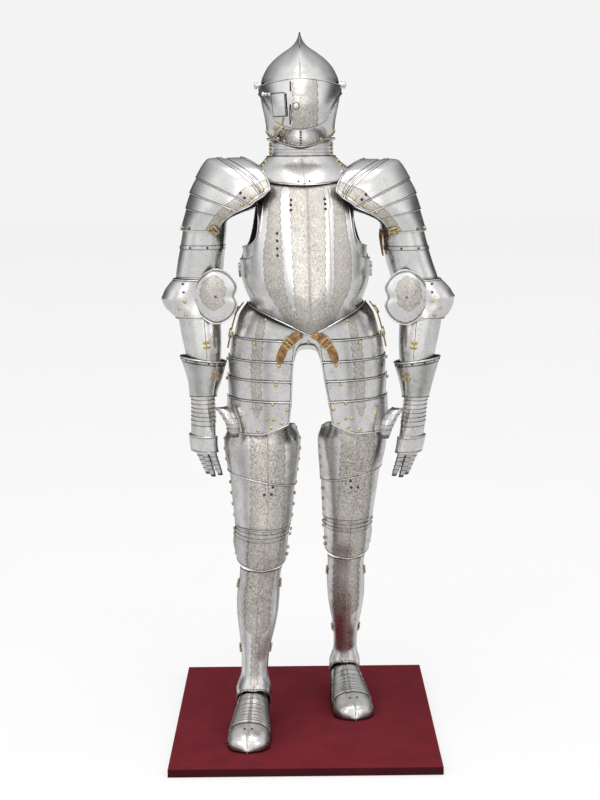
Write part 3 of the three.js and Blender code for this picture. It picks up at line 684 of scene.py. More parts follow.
@dataclass(frozen=True)
class PolishedSteel:
    """Bright plate with fine stained grain, painted shade along its edges and where the mesh asks, and etched
    where the mesh asks.
    """

    name: str = "polished_steel"
    bright: Colour = grey(0.86, 0.004)
    stain: Colour = grey(0.58, 0.03)
    pit: Colour = (0.22, 0.18, 0.145, 1.0)
    ground: Colour = (0.66, 0.63, 0.58, 1.0)
    line: Colour = (0.2, 0.17, 0.14, 1.0)
    # Dark colour of the painted shade and of the patina along the edges.
    shade_dark: Colour = (0.03, 0.026, 0.023, 1.0)
    roughness: float = 0.23
    scallop: float = 0.019

    def make(self) -> Material:
        """Returns the material."""
        s = Shader(self.name)
        where = s.place()
        cloud = s.noise(where, 8.0, 5.0, 0.6)
        blotch = s.noise(where, 42.0, 4.0, 0.65)
        grain = s.noise(where, 210.0, 4.0, 0.75)
        pits = s.noise(where, 480.0, 3.0, 0.7)
        across, along, half = (s.attribute(name) for name in ("across", "along", "half"))
        inside, pattern, border = self.etching(s, abs(across), along, half, blotch)
        z = s.axes(where)[2]
        low = z.ramp(1.25, 0.7, 0.0, 1.0) * z.ramp(1.4, 1.6, 1.0, 0.6)
        worn = cloud.ramp(0.42, 0.62) * 0.55 + blotch.ramp(0.42, 0.64) * 0.45
        pitted = grain.ramp(0.52, 0.66) * worn.ramp(0.05, 0.7) * (0.5 + low * 0.5)
        bare = s.mix(worn * (0.4 + low * 0.42), self.bright, self.stain)
        bare = s.mix(pitted * 0.8, bare, self.pit)
        stipple = grain.ramp(0.46, 0.6) * (0.5 + low * 0.25) + pits.ramp(0.48, 0.62) * 0.3
        worked = s.mix(pattern * blotch.ramp(0.35, 0.6, 0.6, 0.1), self.ground, self.bright)
        worked = s.mix(stipple * cloud.ramp(0.35, 0.6, 0.45, 1.0), worked, self.line)
        worked = s.mix(border * 0.75, worked, self.line)
        colour = s.mix(inside, bare, worked)
        # Partly patina in the crevices, partly painted shade: a dark line along every plate edge and lame
        # line, broken by the grain, and on top of it each plate's own painted shade and painted dark
        # reflections.
        near = s.attribute("edge").ramp(0.0014, 0.0046, 1.0, 0.0)
        shade_mask = near * grain.ramp(0.3, 0.55, 0.7, 1.0) + s.attribute("painted_shade")
        colour = s.mix(shade_mask.lowest(0.94), colour, self.shade_dark)
        rough = worn * 0.1 + pitted * 0.2 + inside * 0.13 + self.roughness
        relief = pattern * inside * 0.3 - border * 0.8 - pitted * 0.5
        fine = s.bump(relief, 0.0003, 0.8)
        dents = s.bump(s.noise(where, 15.0, 1.0, 0.4), 0.0013, 0.5, fine)
        return s.surface(Base_Color=colour, Metallic=1.0, Roughness=rough, Normal=dents)

    def etching(
        self, s: Shader, across: Sock, along: Sock, half: Sock, blotch: Sock,
    ) -> tuple[Sock, Sock, Sock]:
        """Scrolling leaves in a band with a scalloped border.

        Args:
            s: The builder.
            across: Distance from the band's middle line.
            along: Distance along the band.
            half: Half the band's width, or nothing where there is no band.
            blotch: Noise that breaks the border's line.

        Returns:
            The share inside the band, of leaf and of border line.
        """
        step = along / self.scallop
        lobe = abs((step * math.pi).sin()).power(0.6) * 0.005
        depth = half - 0.005 - across + lobe + (blotch - 0.5) * 0.0016
        inside = depth.ramp(-0.0004, 0.0006) * half.ramp(0.001, 0.002)
        border = abs(depth - 0.0009).ramp(0.0004, 0.0011, 1.0, 0.0) * inside
        turn = (step * 0.5).fraction() - 0.5
        side = across - half * 0.42
        run = turn * (2 * self.scallop)
        reach = (side * side + run * run + 1e-7).power(0.5)
        angle = run.arctan2(side)
        spiral = (angle + reach * 520.0).sin().ramp(-0.1, 0.35)
        petals = (angle * 5.0).sin() * 0.0022 + 0.0125
        leaf = (petals - reach).ramp(0.0, 0.0008) * spiral
        sprig = ((step * (2 * math.pi)).sin() * 0.0035 + half * 0.78 - across)
        vine = abs(sprig).ramp(0.0005, 0.0011, 1.0, 0.0)
        return inside, leaf.highest(vine) * inside, border


@dataclass(frozen=True)
class DarkInside:
    """The rough blackened inside of a plate."""

    name: str = "plate_inside"
    colour: Colour = grey(0.055, 0.05)

    def make(self) -> Material:
        """Returns the material."""
        s = Shader(self.name)
        mottle = s.noise(s.place(), 45.0, 4.0)
        colour = s.mix(mottle.ramp(0.3, 0.7), self.colour, grey(0.12, 0.1))
        return s.surface(Base_Color=colour, Metallic=0.8, Roughness=mottle.ramp(0.2, 0.8, 0.55, 0.75))


@dataclass(frozen=True)
class AgedBrass:
    """Brass rivets, buckles and hinges, darker where they are not rubbed."""

    name: str = "aged_brass"
    bright: Colour = (0.7, 0.58, 0.31, 1.0)
    dull: Colour = (0.27, 0.2, 0.09, 1.0)

    def make(self) -> Material:
        """Returns the material."""
        s = Shader(self.name)
        mottle = s.noise(s.place(), 260.0, 4.0)
        colour = s.mix(mottle.ramp(0.42, 0.75), self.bright, self.dull)
        normal = s.bump(mottle, 0.0003, 0.4)
        rough = mottle.ramp(0.3, 0.8, 0.22, 0.45)
        return s.surface(Base_Color=colour, Metallic=1.0, Roughness=rough, Normal=normal)


@dataclass(frozen=True)
class StrapLeather:
    """Tan strap leather with a fine grain, darker in patches."""

    name: str = "strap_leather"
    tan: Colour = (0.43, 0.235, 0.085, 1.0)
    worn: Colour = (0.19, 0.085, 0.03, 1.0)

    def make(self) -> Material:
        """Returns the material."""
        s = Shader(self.name)
        where = s.place()
        grain = s.cells(where, 1100.0)
        cloud = s.noise(where, 60.0, 4.0)
        colour = s.mix(cloud.ramp(0.38, 0.62), self.tan, self.worn)
        normal = s.bump(grain + cloud, 0.0004, 0.5)
        return s.surface(Base_Color=colour, Roughness=cloud.ramp(0.2, 0.8, 0.5, 0.7), Normal=normal)


@dataclass(frozen=True)
class DarkLeather:
    """The dark lining strip under the helmet's lower rivets."""

    name: str = "lining_leather"
    colour: Colour = (0.035, 0.025, 0.02, 1.0)

    def make(self) -> Material:
        """Returns the material."""
        s = Shader(self.name)
        grain = s.noise(s.place(), 300.0, 4.0)
        colour = s.mix(grain.ramp(0.4, 0.8), self.colour, (0.11, 0.07, 0.045, 1.0))
        return s.surface(Base_Color=colour, Roughness=0.7, Normal=s.bump(grain, 0.0004, 0.6))


@dataclass(frozen=True)
class PlinthCloth:
    """Deep red woven cloth, stretched over the plinth, its sides darkened with painted shade."""

    name: str = "plinth_cloth"
    deep: Colour = (0.125, 0.011, 0.019, 1.0)
    light: Colour = (0.235, 0.024, 0.035, 1.0)

    def make(self) -> Material:
        """Returns the material."""
        s = Shader(self.name)
        x, y, z = s.axes(s.place())
        thread = 2 * math.pi / 0.0016
        weave = (x * thread).sin() * ((y + z) * thread).sin()
        cloud = s.noise(s.place(), 14.0, 5.0, 0.6)
        nap = s.noise(s.place(), 700.0, 2.0)
        colour = s.mix(cloud.ramp(0.3, 0.75) * 0.6 + nap * 0.4, self.deep, self.light)
        # Painted shade: the cloth below the top edge is darkened almost to black on the plinth's sides.
        colour = s.mix(z.ramp(0.0195, 0.0222, 0.72, 0.0), colour, grey(0.002))
        normal = s.bump(weave * 0.5 + nap, 0.0005, 0.5)
        return s.surface(
            Base_Color=colour, Roughness=cloud.ramp(0.2, 0.8, 0.8, 0.95), Normal=normal,
            Specular_IOR_Level=0.12,
        )


@dataclass(frozen=True)
class Finishes:
    """Every finish of the suit, made once."""

    steel: Material
    inside: Material
    brass: Material
    strap: Material
    lining: Material
    cloth: Material

    @classmethod
    def make(cls) -> "Finishes":
        """Returns the finishes."""
        return cls(
            PolishedSteel().make(), DarkInside().make(), AgedBrass().make(),
            StrapLeather().make(), DarkLeather().make(), PlinthCloth().make(),
        )


class Skin(Enum):
    """Which finish of a piece a face takes, by its place in the piece's slots."""

    FACE = 0
    BACK = 1


# Meshes


def show(name: str, data: Any) -> Object:
    """Returns a new object of the scene that holds a mesh, a light or a camera."""
    obj = bpy.data.objects.new(name, data)
    bpy.context.scene.collection.objects.link(obj)
    return obj


def unit(vectors: Array) -> Array:
    """Returns vectors at a length of one."""
    return vectors / np.maximum(np.linalg.norm(vectors, axis=-1, keepdims=True), 1e-9)


def run_along(path: Array) -> Array:
    """Returns each point's distance from the start of a path."""
    return np.concatenate([[0], np.cumsum(np.linalg.norm(np.diff(path, axis=0), axis=1))])


def facing(form: Form, u: Array, v: Array, sign: int) -> Array:
    """Unit vectors that a form faces, from its two partial differences.

    Args:
        form: The form.
        u: First argument of the form.
        v: Second argument of the form.
        sign: 1, or -1 where the form runs the other way round.

    Returns:
        The unit vectors.
    """
    du = form(u + 0.06, v) - form(u - 0.06, v)
    dv = form(u, v + 1e-3) - form(u, v - 1e-3)
    normal = np.cross(du, dv) * sign
    return normal / np.maximum(np.linalg.norm(normal, axis=-1, keepdims=True), 1e-12)


# The last mark says how far a point is darkened by painted shade and painted dark reflections, 0 to 1.
MARKS = {"across": (99.0, MM), "along": (0.0, MM), "half": (0.0, MM), "edge": (99.0, MM), "painted_shade": (0.0, 1.0)}


class Draft:
    """Gathers points and faces, in millimetres, until they become one mesh."""

    def __init__(self) -> None:
        """Starts empty."""
        self.points: list[Array] = []
        self.faces: list[Sequence[int]] = []
        self.slots: list[int] = []
        self.marks: dict[str, list[Array]] = {name: [] for name in MARKS}
        self.count = 0

    def add(self, points: Array, **marks: Array) -> Array:
        """Adds points.

        Args:
            points: An array of points, of any shape with a last axis of three.
            **marks: Each point's place in its etched band, its distance to an edge, and how far it is
                     darkened by painted shade.

        Returns:
            The points' numbers, in the same shape.
        """
        shape = points.shape[:-1]
        number = int(np.prod(shape))
        self.points.append(points.reshape(-1, 3))
        for name, (default, _) in MARKS.items():
            self.marks[name].append(np.broadcast_to(marks.get(name, default), shape).ravel())
        numbers = np.arange(self.count, self.count + number).reshape(shape)
        self.count += number
        return numbers

    def quad(self, a: int, b: int, c: int, d: int, slot: Skin = Skin.FACE) -> None:
        """Adds one face with four corners."""
        self.faces.append((int(a), int(b), int(c), int(d)))
        self.slots.append(slot.value)

    def fan(self, ring: Sequence[int]) -> None:
        """Adds one face round a ring of points."""
        self.faces.append([int(n) for n in ring])
        self.slots.append(Skin.FACE.value)

    def sheet(self, numbers: Array) -> None:
        """Adds the faces round a closed grid of points, by column and row."""
        for here, after in zip(numbers, np.roll(numbers, -1, axis=0)):
            for a, b, c, d in zip(here, after, after[1:], here[1:]):
                self.quad(a, b, c, d)

    def tube(
        self, path: Array, radius: Union[float, Array], sides: int = 8, closed: bool = False,
        rope: float = 0.0, up: Optional[Array] = None,
    ) -> None:
        """Adds a round tube along a path.

        Args:
            path: Points of the path.
            radius: Its radius, one number or one for each point.
            sides: Faces round the tube.
            closed: Joins the end to the start.
            rope: Length of one turn of a rope's strand; 0 for a plain tube.
            up: A rough normal for each point, which keeps the tube from twisting.
        """
        path = np.asarray(path, float)
        ahead = np.roll(path, -1, 0) - np.roll(path, 1, 0)
        if not closed:
            ahead[0], ahead[-1] = path[1] - path[0], path[-1] - path[-2]
        ahead = unit(ahead)
        if up is None:
            up = np.tile(np.array([0.31, -0.62, 0.72]), (len(path), 1))
        side = unit(np.cross(ahead, up))
        over = np.cross(side, ahead)
        run = run_along(path)
        turn = np.linspace(0, 2 * math.pi, sides, endpoint=False)
        size = np.broadcast_to(np.asarray(radius, float), (len(path),))[:, None] * np.ones(sides)
        if rope:
            size = size * (1 + 0.2 * np.sin(turn[None, :] * 2 + 2 * math.pi * run[:, None] / rope))
        ring = side[:, None, :] * np.cos(turn)[None, :, None] + over[:, None, :] * np.sin(turn)[None, :, None]
        numbers = self.add(path[:, None, :] + ring * size[:, :, None])
        last = len(path) if closed else len(path) - 1
        for i in range(last):
            k = (i + 1) % len(path)
            for j in range(sides):
                n = (j + 1) % sides
                self.quad(numbers[i, j], numbers[i, n], numbers[k, n], numbers[k, j])
        if not closed:
            self.fan(numbers[0][::-1])
            self.fan(numbers[-1])

    def turned(self, centre: Array, axis: Array, profile: Pairs, sides: int = 20) -> None:
        """Adds a turned shape.

        Args:
            centre: The point that the profile starts from.
            axis: Its axis.
            profile: Pairs of distance along the axis and radius, first and last on the axis.
            sides: Faces round it.
        """
        axis = unit(np.asarray(axis, float))
        side = unit(np.cross(axis, [0.13, 0.34, 0.93]))
        over = np.cross(axis, side)
        turn = np.linspace(0, 2 * math.pi, sides, endpoint=False)
        round_ = side[None, :] * np.cos(turn)[:, None] + over[None, :] * np.sin(turn)[:, None]
        centre = np.asarray(centre, float)
        rings = np.stack([centre + axis * along + round_ * max(r, 0.02) for along, r in profile], axis=1)
        numbers = self.add(rings)
        self.sheet(numbers)
        self.fan(numbers[:, 0][::-1])
        self.fan(numbers[:, -1])

    def loop(self, at: "Spot", long: float, wide: float, radius: float) -> None:
        """Adds a rounded rectangular wire loop that lies flat on a spot, such as a buckle's frame."""
        turn = np.linspace(0, 2 * math.pi, 24, endpoint=False)
        c, s_ = np.cos(turn), np.sin(turn)
        ahead = long / 2 * np.sign(c) * np.abs(c) ** 0.4
        aside = wide / 2 * np.sign(s_) * np.abs(s_) ** 0.4
        path = at.point + ahead[:, None] * at.along + aside[:, None] * at.across
        self.tube(path, radius, 8, closed=True, up=np.tile(at.facing, (len(turn), 1)))

    def ribbon(self, path: Array, up: Array, half: Array, thick: float) -> None:
        """Adds a flat strip along a path.

        Args:
            path: Points of its underside's middle line.
            up: The strip's facing at each point.
            half: Its half width, one number or one for each point.
            thick: Its thickness.
        """
        ahead = np.gradient(path, axis=0)
        side = unit(np.cross(ahead, up))
        out = unit(np.cross(side, ahead))
        reach = np.broadcast_to(np.asarray(half, float), (len(path),))[:, None] * side
        soft = 0.25 * thick
        corners = [
            path - reach, path + reach, path + reach + out * (thick - soft), path + reach * 0.9 + out * thick,
            path - reach * 0.9 + out * thick, path - reach + out * (thick - soft),
        ]
        numbers = self.add(np.stack(corners, axis=0))
        self.sheet(numbers)
        self.fan(numbers[:, 0])
        self.fan(numbers[:, -1][::-1])

    def take(self, other: "Draft") -> None:
        """Takes in another draft's points and faces."""
        self.faces += [[n + self.count for n in face] for face in other.faces]
        self.points += other.points
        self.slots += other.slots
        for name, values in other.marks.items():
            self.marks[name] += values
        self.count += other.count

    def build(self, name: str, finishes: Sequence[Material], sharp: float = 40.0) -> Object:
        """Makes the mesh object, in metres.

        Args:
            name: Its name.
            finishes: Its material slots.
            sharp: Edges that turn by more than these degrees stay sharp.

        Returns:
            The object.
        """
        mesh = bpy.data.meshes.new(name)
        points = np.concatenate(self.points) * MM
        mesh.from_pydata(points.tolist(), [], self.faces)
        mesh.polygons.foreach_set("material_index", np.array(self.slots, np.int32))
        for attribute, values in self.marks.items():
            layer = mesh.attributes.new(attribute, "FLOAT", "POINT")
            layer.data.foreach_set("value", (np.concatenate(values) * MARKS[attribute][1]).astype(np.float32))
        for finish in finishes:
            mesh.materials.append(finish)
        mesh.shade_smooth()
        mesh.set_sharp_from_angle(angle=math.radians(sharp))
        mesh.update()
        return show(name, mesh)


@dataclass(frozen=True)
class Spot:
    """A place on a form: a point, the way it faces, and two directions that lie in its skin."""

    point: Array
    facing: Array
    along: Array
    across: Array

    @classmethod
    def on(cls, form: Form, u: float, v: float, lift: float, sign: int = 1, lean: float = 0.0) -> "Spot":
        """Finds a spot.

        Args:
            form: The form.
            u: First argument of the form.
            v: Second argument of the form.
            lift: How far out from the form the spot is.
            sign: 1, or -1 where the form runs the other way round.
            lean: Degrees that the along direction is turned from the form's second argument.

        Returns:
            The spot.
        """
        u_, v_ = np.array([float(u)]), np.array([float(v)])
        out = facing(form, u_, v_, sign)[0]
        rise = unit((form(u_, v_ + 0.01) - form(u_, v_ - 0.01))[0])
        aside = np.cross(rise, out)
        c, s_ = math.cos(math.radians(lean)), math.sin(math.radians(lean))
        return cls(form(u_, v_)[0] + out * lift, out, c * rise + s_ * aside, c * aside - s_ * rise)

    @staticmethod
    def line(spots: Sequence[Spot]) -> tuple[Array, Array]:
        """Returns the points and the facings of a row of spots."""
        return np.stack([spot.point for spot in spots]), np.stack([spot.facing for spot in spots])

    def moved(self, along: float, across: float, out: float = 0.0) -> Array:
        """Returns a point at distances from the spot."""
        return self.point + along * self.along + across * self.across + out * self.facing


def value_at(value: Union[float, Callable[..., Array]], *place: Array) -> Array:
    """Returns a value at a place, whether it is a number or a function of the place."""
    return value(*place) if callable(value) else np.full_like(np.asarray(place[0], float), value)


@dataclass
class Rim:
    """A rolled or roped rim along one edge of a plate."""

    edge: str
    radius: float = 1.5
    rope: float = 0.0


@dataclass
class Plate:
    """A walled plate laid on a form, between two edges and two end angles."""

    name: str
    form: Form
    angles: Array
    low: Edge
    high: Edge
    rows: int = 12
    lift: Union[float, Callable[[Array, Array, Array], Array]] = 0.0
    sign: int = 1
    ring: bool = False
    stops: Sequence[float] = ()
    laps: tuple[float, float] = (0.0, 0.0)
    rims: Sequence[Rim] = ()
    band: Optional[Band] = None
    opening: Optional[Callable[[float, float], bool]] = None
    wall: float = WALL
    lames: Sequence[float] = ()
    lame_depth: float = 1.0
    lame_line: float = 1.9
    crest: float = 0.0
    crest_half: float = 1.2
    # How far the plate is darkened by painted shade and painted dark reflections, by angle and share of
    # height.
    painted_shade: Union[float, Callable[[Array, Array], Array]] = 0.0

    def __post_init__(self) -> None:
        """Adds the stations that the crest down the middle needs."""
        if self.crest:
            extra = [-self.crest_half, 0, self.crest_half]
            self.angles = np.unique(np.concatenate([self.angles, extra]))

    @property
    def ends(self) -> tuple[int, int]:
        """The first and last rows that show, past any lap under a neighbour."""
        return (1 if self.laps[0] else 0), (-2 if self.laps[1] else -1)

    def heights(self) -> tuple[Array, Array]:
        """Returns the stations as shares of the height, and the heights of every column and row."""
        lines = np.asarray(self.lames, float)
        stops = [np.linspace(0, 1, self.rows + 1), np.asarray(self.stops, float), lines - LAME_GAP, lines]
        share = np.unique(np.clip(np.concatenate(stops), 0, 1))
        low, high = value_at(self.low, self.angles), value_at(self.high, self.angles)
        heights = low[:, None] + (high - low)[:, None] * share[None, :]
        if self.laps[0]:
            share = np.concatenate([[-1.0], share])
            heights = np.concatenate([(low - self.laps[0])[:, None], heights], axis=1)
        if self.laps[1]:
            share = np.concatenate([share, [2.0]])
            heights = np.concatenate([heights, (high + self.laps[1])[:, None]], axis=1)
        return share, heights

    def draft(self) -> Draft:
        """Returns the plate's mesh, with its rims."""
        share, h = self.heights()
        angle = np.broadcast_to(self.angles[:, None], h.shape)
        base = self.form(angle, h)
        normal = facing(self.form, angle, h, self.sign)
        v = np.broadcast_to(np.clip(share, 0, 1)[None, :], h.shape)
        crest = self.crest * np.maximum(0, 1 - np.abs(angle) / self.crest_half)
        raise_ = (value_at(self.lift, angle, v, h) + self.steps(v) + crest)[..., None]
        outer, inner = base + normal * raise_, base + normal * (raise_ - self.wall)
        marks = {"edge": self.to_edge(outer, v), "painted_shade": value_at(self.painted_shade, angle, v)}
        if self.band is not None:
            marks.update(zip(("across", "along", "half"), self.band(angle, h, outer)))
        draft = Draft()
        out = draft.add(outer, **marks)
        back = draft.add(inner)
        self.skins(draft, out, back, h)
        for rim in self.rims:
            self.add_rim(draft, rim, (outer + inner) / 2, normal)
        return draft

    def steps(self, v: Array) -> Array:
        """Returns how far the skin rises over each narrow lame before it drops to the next."""
        total = np.zeros_like(v)
        for foot, head in zip(self.lames, self.lames[1:]):
            share = (v - foot) / (head - LAME_GAP - foot)
            total += np.where((share >= 0) & (share <= 1.0001), share, 0)
        return total * self.lame_depth

    def to_edge(self, points: Array, v: Array) -> Array:
        """Returns each point's distance along the skin to the nearest edge or lame line that shows."""

        def run(axis: int) -> Array:
            """Returns the length of skin from the first point along one axis."""
            step = np.cumsum(np.linalg.norm(np.diff(points, axis=axis), axis=-1), axis)
            return np.concatenate([np.zeros_like(np.take(step, [0], axis)), step], axis)

        first, last = self.ends
        up = run(1)
        rows = [(first, 0.0), (last, 0.0)]
        rows += [(int(np.argmin(np.abs(v[0] - line))), self.lame_line) for line in self.lames]
        nearest = np.min([np.abs(up - up[:, [row]]) + spare for row, spare in rows], axis=0)
        if not self.ring:
            along = run(0)
            nearest = np.minimum(nearest, np.minimum(along, along[-1:] - along))
        return nearest

    def skins(self, draft: Draft, out: Array, back: Array, h: Array) -> None:
        """Adds both skins and closes every free edge.

        Args:
            draft: The mesh.
            out: Numbers of the outer points.
            back: Numbers of the inner points.
            h: Height of every point.
        """
        columns = len(self.angles) if self.ring else len(self.angles) - 1
        rows = h.shape[1] - 1
        count = len(self.angles)
        present = np.ones((columns, rows), bool)
        if self.opening is not None:
            for i in range(columns):
                for j in range(rows):
                    k = (i + 1) % count
                    middle = h[[i, i, k, k], [j, j + 1, j, j + 1]].mean()
                    span = (self.angles[i] + self.angles[k]) / 2 if k else self.angles[i]
                    present[i, j] = not self.opening(float(span), float(middle))

        def face(a: int, b: int, c: int, d: int, skin: Skin = Skin.FACE) -> None:
            """Adds a face, turned over where the form runs the other way round."""
            draft.quad(*((a, b, c, d) if self.sign > 0 else (a, d, c, b)), skin)

        def there(i: int, j: int) -> bool:
            """Returns whether the plate has metal in a cell."""
            if j < 0 or j >= rows or (not self.ring and not 0 <= i < columns):
                return False
            return bool(present[i % columns, j])

        for i in range(columns):
            k = (i + 1) % count
            for j in range(rows):
                if not present[i, j]:
                    continue
                face(out[i, j], out[k, j], out[k, j + 1], out[i, j + 1])
                face(back[i, j], back[i, j + 1], back[k, j + 1], back[k, j], Skin.BACK)
                if not there(i, j - 1):
                    face(out[i, j], back[i, j], back[k, j], out[k, j])
                if not there(i, j + 1):
                    face(out[i, j + 1], out[k, j + 1], back[k, j + 1], back[i, j + 1])
                if not there(i - 1, j):
                    face(out[i, j], out[i, j + 1], back[i, j + 1], back[i, j])
                if not there(i + 1, j):
                    face(out[k, j], back[k, j], back[k, j + 1], out[k, j + 1])

    def add_rim(self, draft: Draft, rim: Rim, middle: Array, normal: Array) -> None:
        """Adds a tube along one edge."""
        first, last = self.ends
        pick = {
            "low": (slice(None), first), "high": (slice(None), last),
            "start": (0, slice(None)), "end": (-1, slice(None)),
        }[rim.edge]
        path, up = middle[pick], normal[pick]
        if rim.rope:
            path, up = resample(path, up, rim.rope / 5)
        closed = self.ring and rim.edge in ("low", "high")
        draft.tube(path, rim.radius, 10 if rim.rope else 8, closed, rim.rope, up)


def resample(path: Array, up: Array, pitch: float) -> tuple[Array, Array]:
    """Points at an even pitch along a path.

    Args:
        path: The path.
        up: A vector for each of its points.
        pitch: Distance between the new points.

    Returns:
        The new points and their vectors.
    """
    run = run_along(path)
    wanted = np.linspace(0, run[-1], max(2, int(run[-1] / pitch) + 1))
    pick = lambda values: np.stack([np.interp(wanted, run, values[:, i]) for i in range(3)], axis=1)
    return pick(path), pick(up)


def finish_piece(obj: Object, body: str, *nodes: str, slot: str = "steel") -> None:
    """Puts a piece on its body and hides the solids that it stands for.

    Args:
        obj: The piece.
        body: The body that it moves with.
        *nodes: The solids that it stands for.
        slot: Not used.
    """
    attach(obj, body)
    if nodes:
        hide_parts(*nodes)
    LOG.info("%s: %d faces, rides on %s", obj.name, len(obj.data.polygons), body)


# Rivets


@dataclass
class RivetField:
    """Rivet heads scattered by a node tree on the points and facings that it is given."""

    name: str
    body: str
    finish: Material
    flatness: float
    points: list[Array] = field(default_factory=list)
    facings: list[Array] = field(default_factory=list)
    sizes: list[float] = field(default_factory=list)

    def put(self, point: Array, facing_: Array, size: float) -> None:
        """Adds one rivet at a point."""
        self.points.append(point)
        self.facings.append(facing_)
        self.sizes.append(size)

    def tree(self) -> bpy.types.NodeTree:
        """Returns the node tree that puts a domed head on every point."""
        tree = bpy.data.node_groups.new(f"{self.name}_heads", "GeometryNodeTree")
        for name, way, kind in (
            ("Geometry", "INPUT", "Geometry"), ("Head flatness", "INPUT", "Float"),
            ("Finish", "INPUT", "Material"), ("Geometry", "OUTPUT", "Geometry"),
        ):
            tree.interface.new_socket(name, in_out=way, socket_type=f"NodeSocket{kind}")
        new = tree.nodes.new
        start, end = new("NodeGroupInput"), new("NodeGroupOutput")
        head, squeeze = new("GeometryNodeMeshUVSphere"), new("ShaderNodeCombineXYZ")
        for socket, value in (("Segments", 12), ("Rings", 6), ("Radius", 1.0)):
            head.inputs[socket].default_value = value
        squeeze.inputs[0].default_value = squeeze.inputs[1].default_value = 1.0
        flat, place = new("GeometryNodeTransform"), new("GeometryNodeInstanceOnPoints")
        turn = new("FunctionNodeAlignRotationToVector")
        turn.axis = "Z"
        out, size = (new("GeometryNodeInputNamedAttribute") for _ in range(2))
        for node, kind, name in ((out, "FLOAT_VECTOR", "facing"), (size, "FLOAT", "size")):
            node.data_type = kind
            node.inputs["Name"].default_value = name
        solid, smooth = new("GeometryNodeRealizeInstances"), new("GeometryNodeSetShadeSmooth")
        dress = new("GeometryNodeSetMaterial")
        for source, output, target, socket in (
            (start, "Head flatness", squeeze, 2), (head, "Mesh", flat, "Geometry"),
            (squeeze, 0, flat, "Scale"), (start, "Geometry", place, "Points"),
            (flat, "Geometry", place, "Instance"), (out, "Attribute", turn, "Vector"),
            (turn, "Rotation", place, "Rotation"), (size, "Attribute", place, "Scale"),
            (place, "Instances", solid, "Geometry"), (solid, "Geometry", smooth, "Geometry"),
            (smooth, "Geometry", dress, "Geometry"), (start, "Finish", dress, "Material"),
            (dress, "Geometry", end, "Geometry"),
        ):
            tree.links.new(source.outputs[output], target.inputs[socket])
        return tree

    def build(self) -> None:
        """Makes the heads as one plain mesh on their body."""
        mesh = bpy.data.meshes.new(f"{self.name}_points")
        mesh.from_pydata((np.array(self.points) * MM).tolist(), [], [])
        layer = mesh.attributes.new("facing", "FLOAT_VECTOR", "POINT")
        layer.data.foreach_set("vector", np.array(self.facings, np.float32).ravel())
        layer = mesh.attributes.new("size", "FLOAT", "POINT")
        layer.data.foreach_set("value", (np.array(self.sizes) * MM).astype(np.float32))
        seed = show(f"{self.name}_seed", mesh)
        modifier = seed.modifiers.new("heads", "NODES")
        tree = self.tree()
        modifier.node_group = tree
        keys = {s.name: s.identifier for s in tree.interface.items_tree if s.in_out == "INPUT"}
        modifier[keys["Head flatness"]] = self.flatness
        modifier[keys["Finish"]] = self.finish
        graph = bpy.context.evaluated_depsgraph_get()
        made = bpy.data.meshes.new_from_object(seed.evaluated_get(graph))
        made.name = self.name
        bpy.data.objects.remove(seed)
        finish_piece(show(self.name, made), self.body)


# Sub-assemblies


@dataclass(frozen=True)
class Head:
    """The head of one kind of rivet."""

    finish: str
    radius: float
    flatness: float


class Stud(Enum):
    """The kinds of small round things on the plates."""

    BRASS = Head("brass", 4.9, 0.6)
    SMALL_BRASS = Head("brass", 3.4, 0.6)
    STEEL = Head("steel", 3.3, 0.6)
    # Flat discs of dark lining leather stand in for holes: painted shade where a hole would be.
    HOLE = Head("lining", 4.0, 0.08)


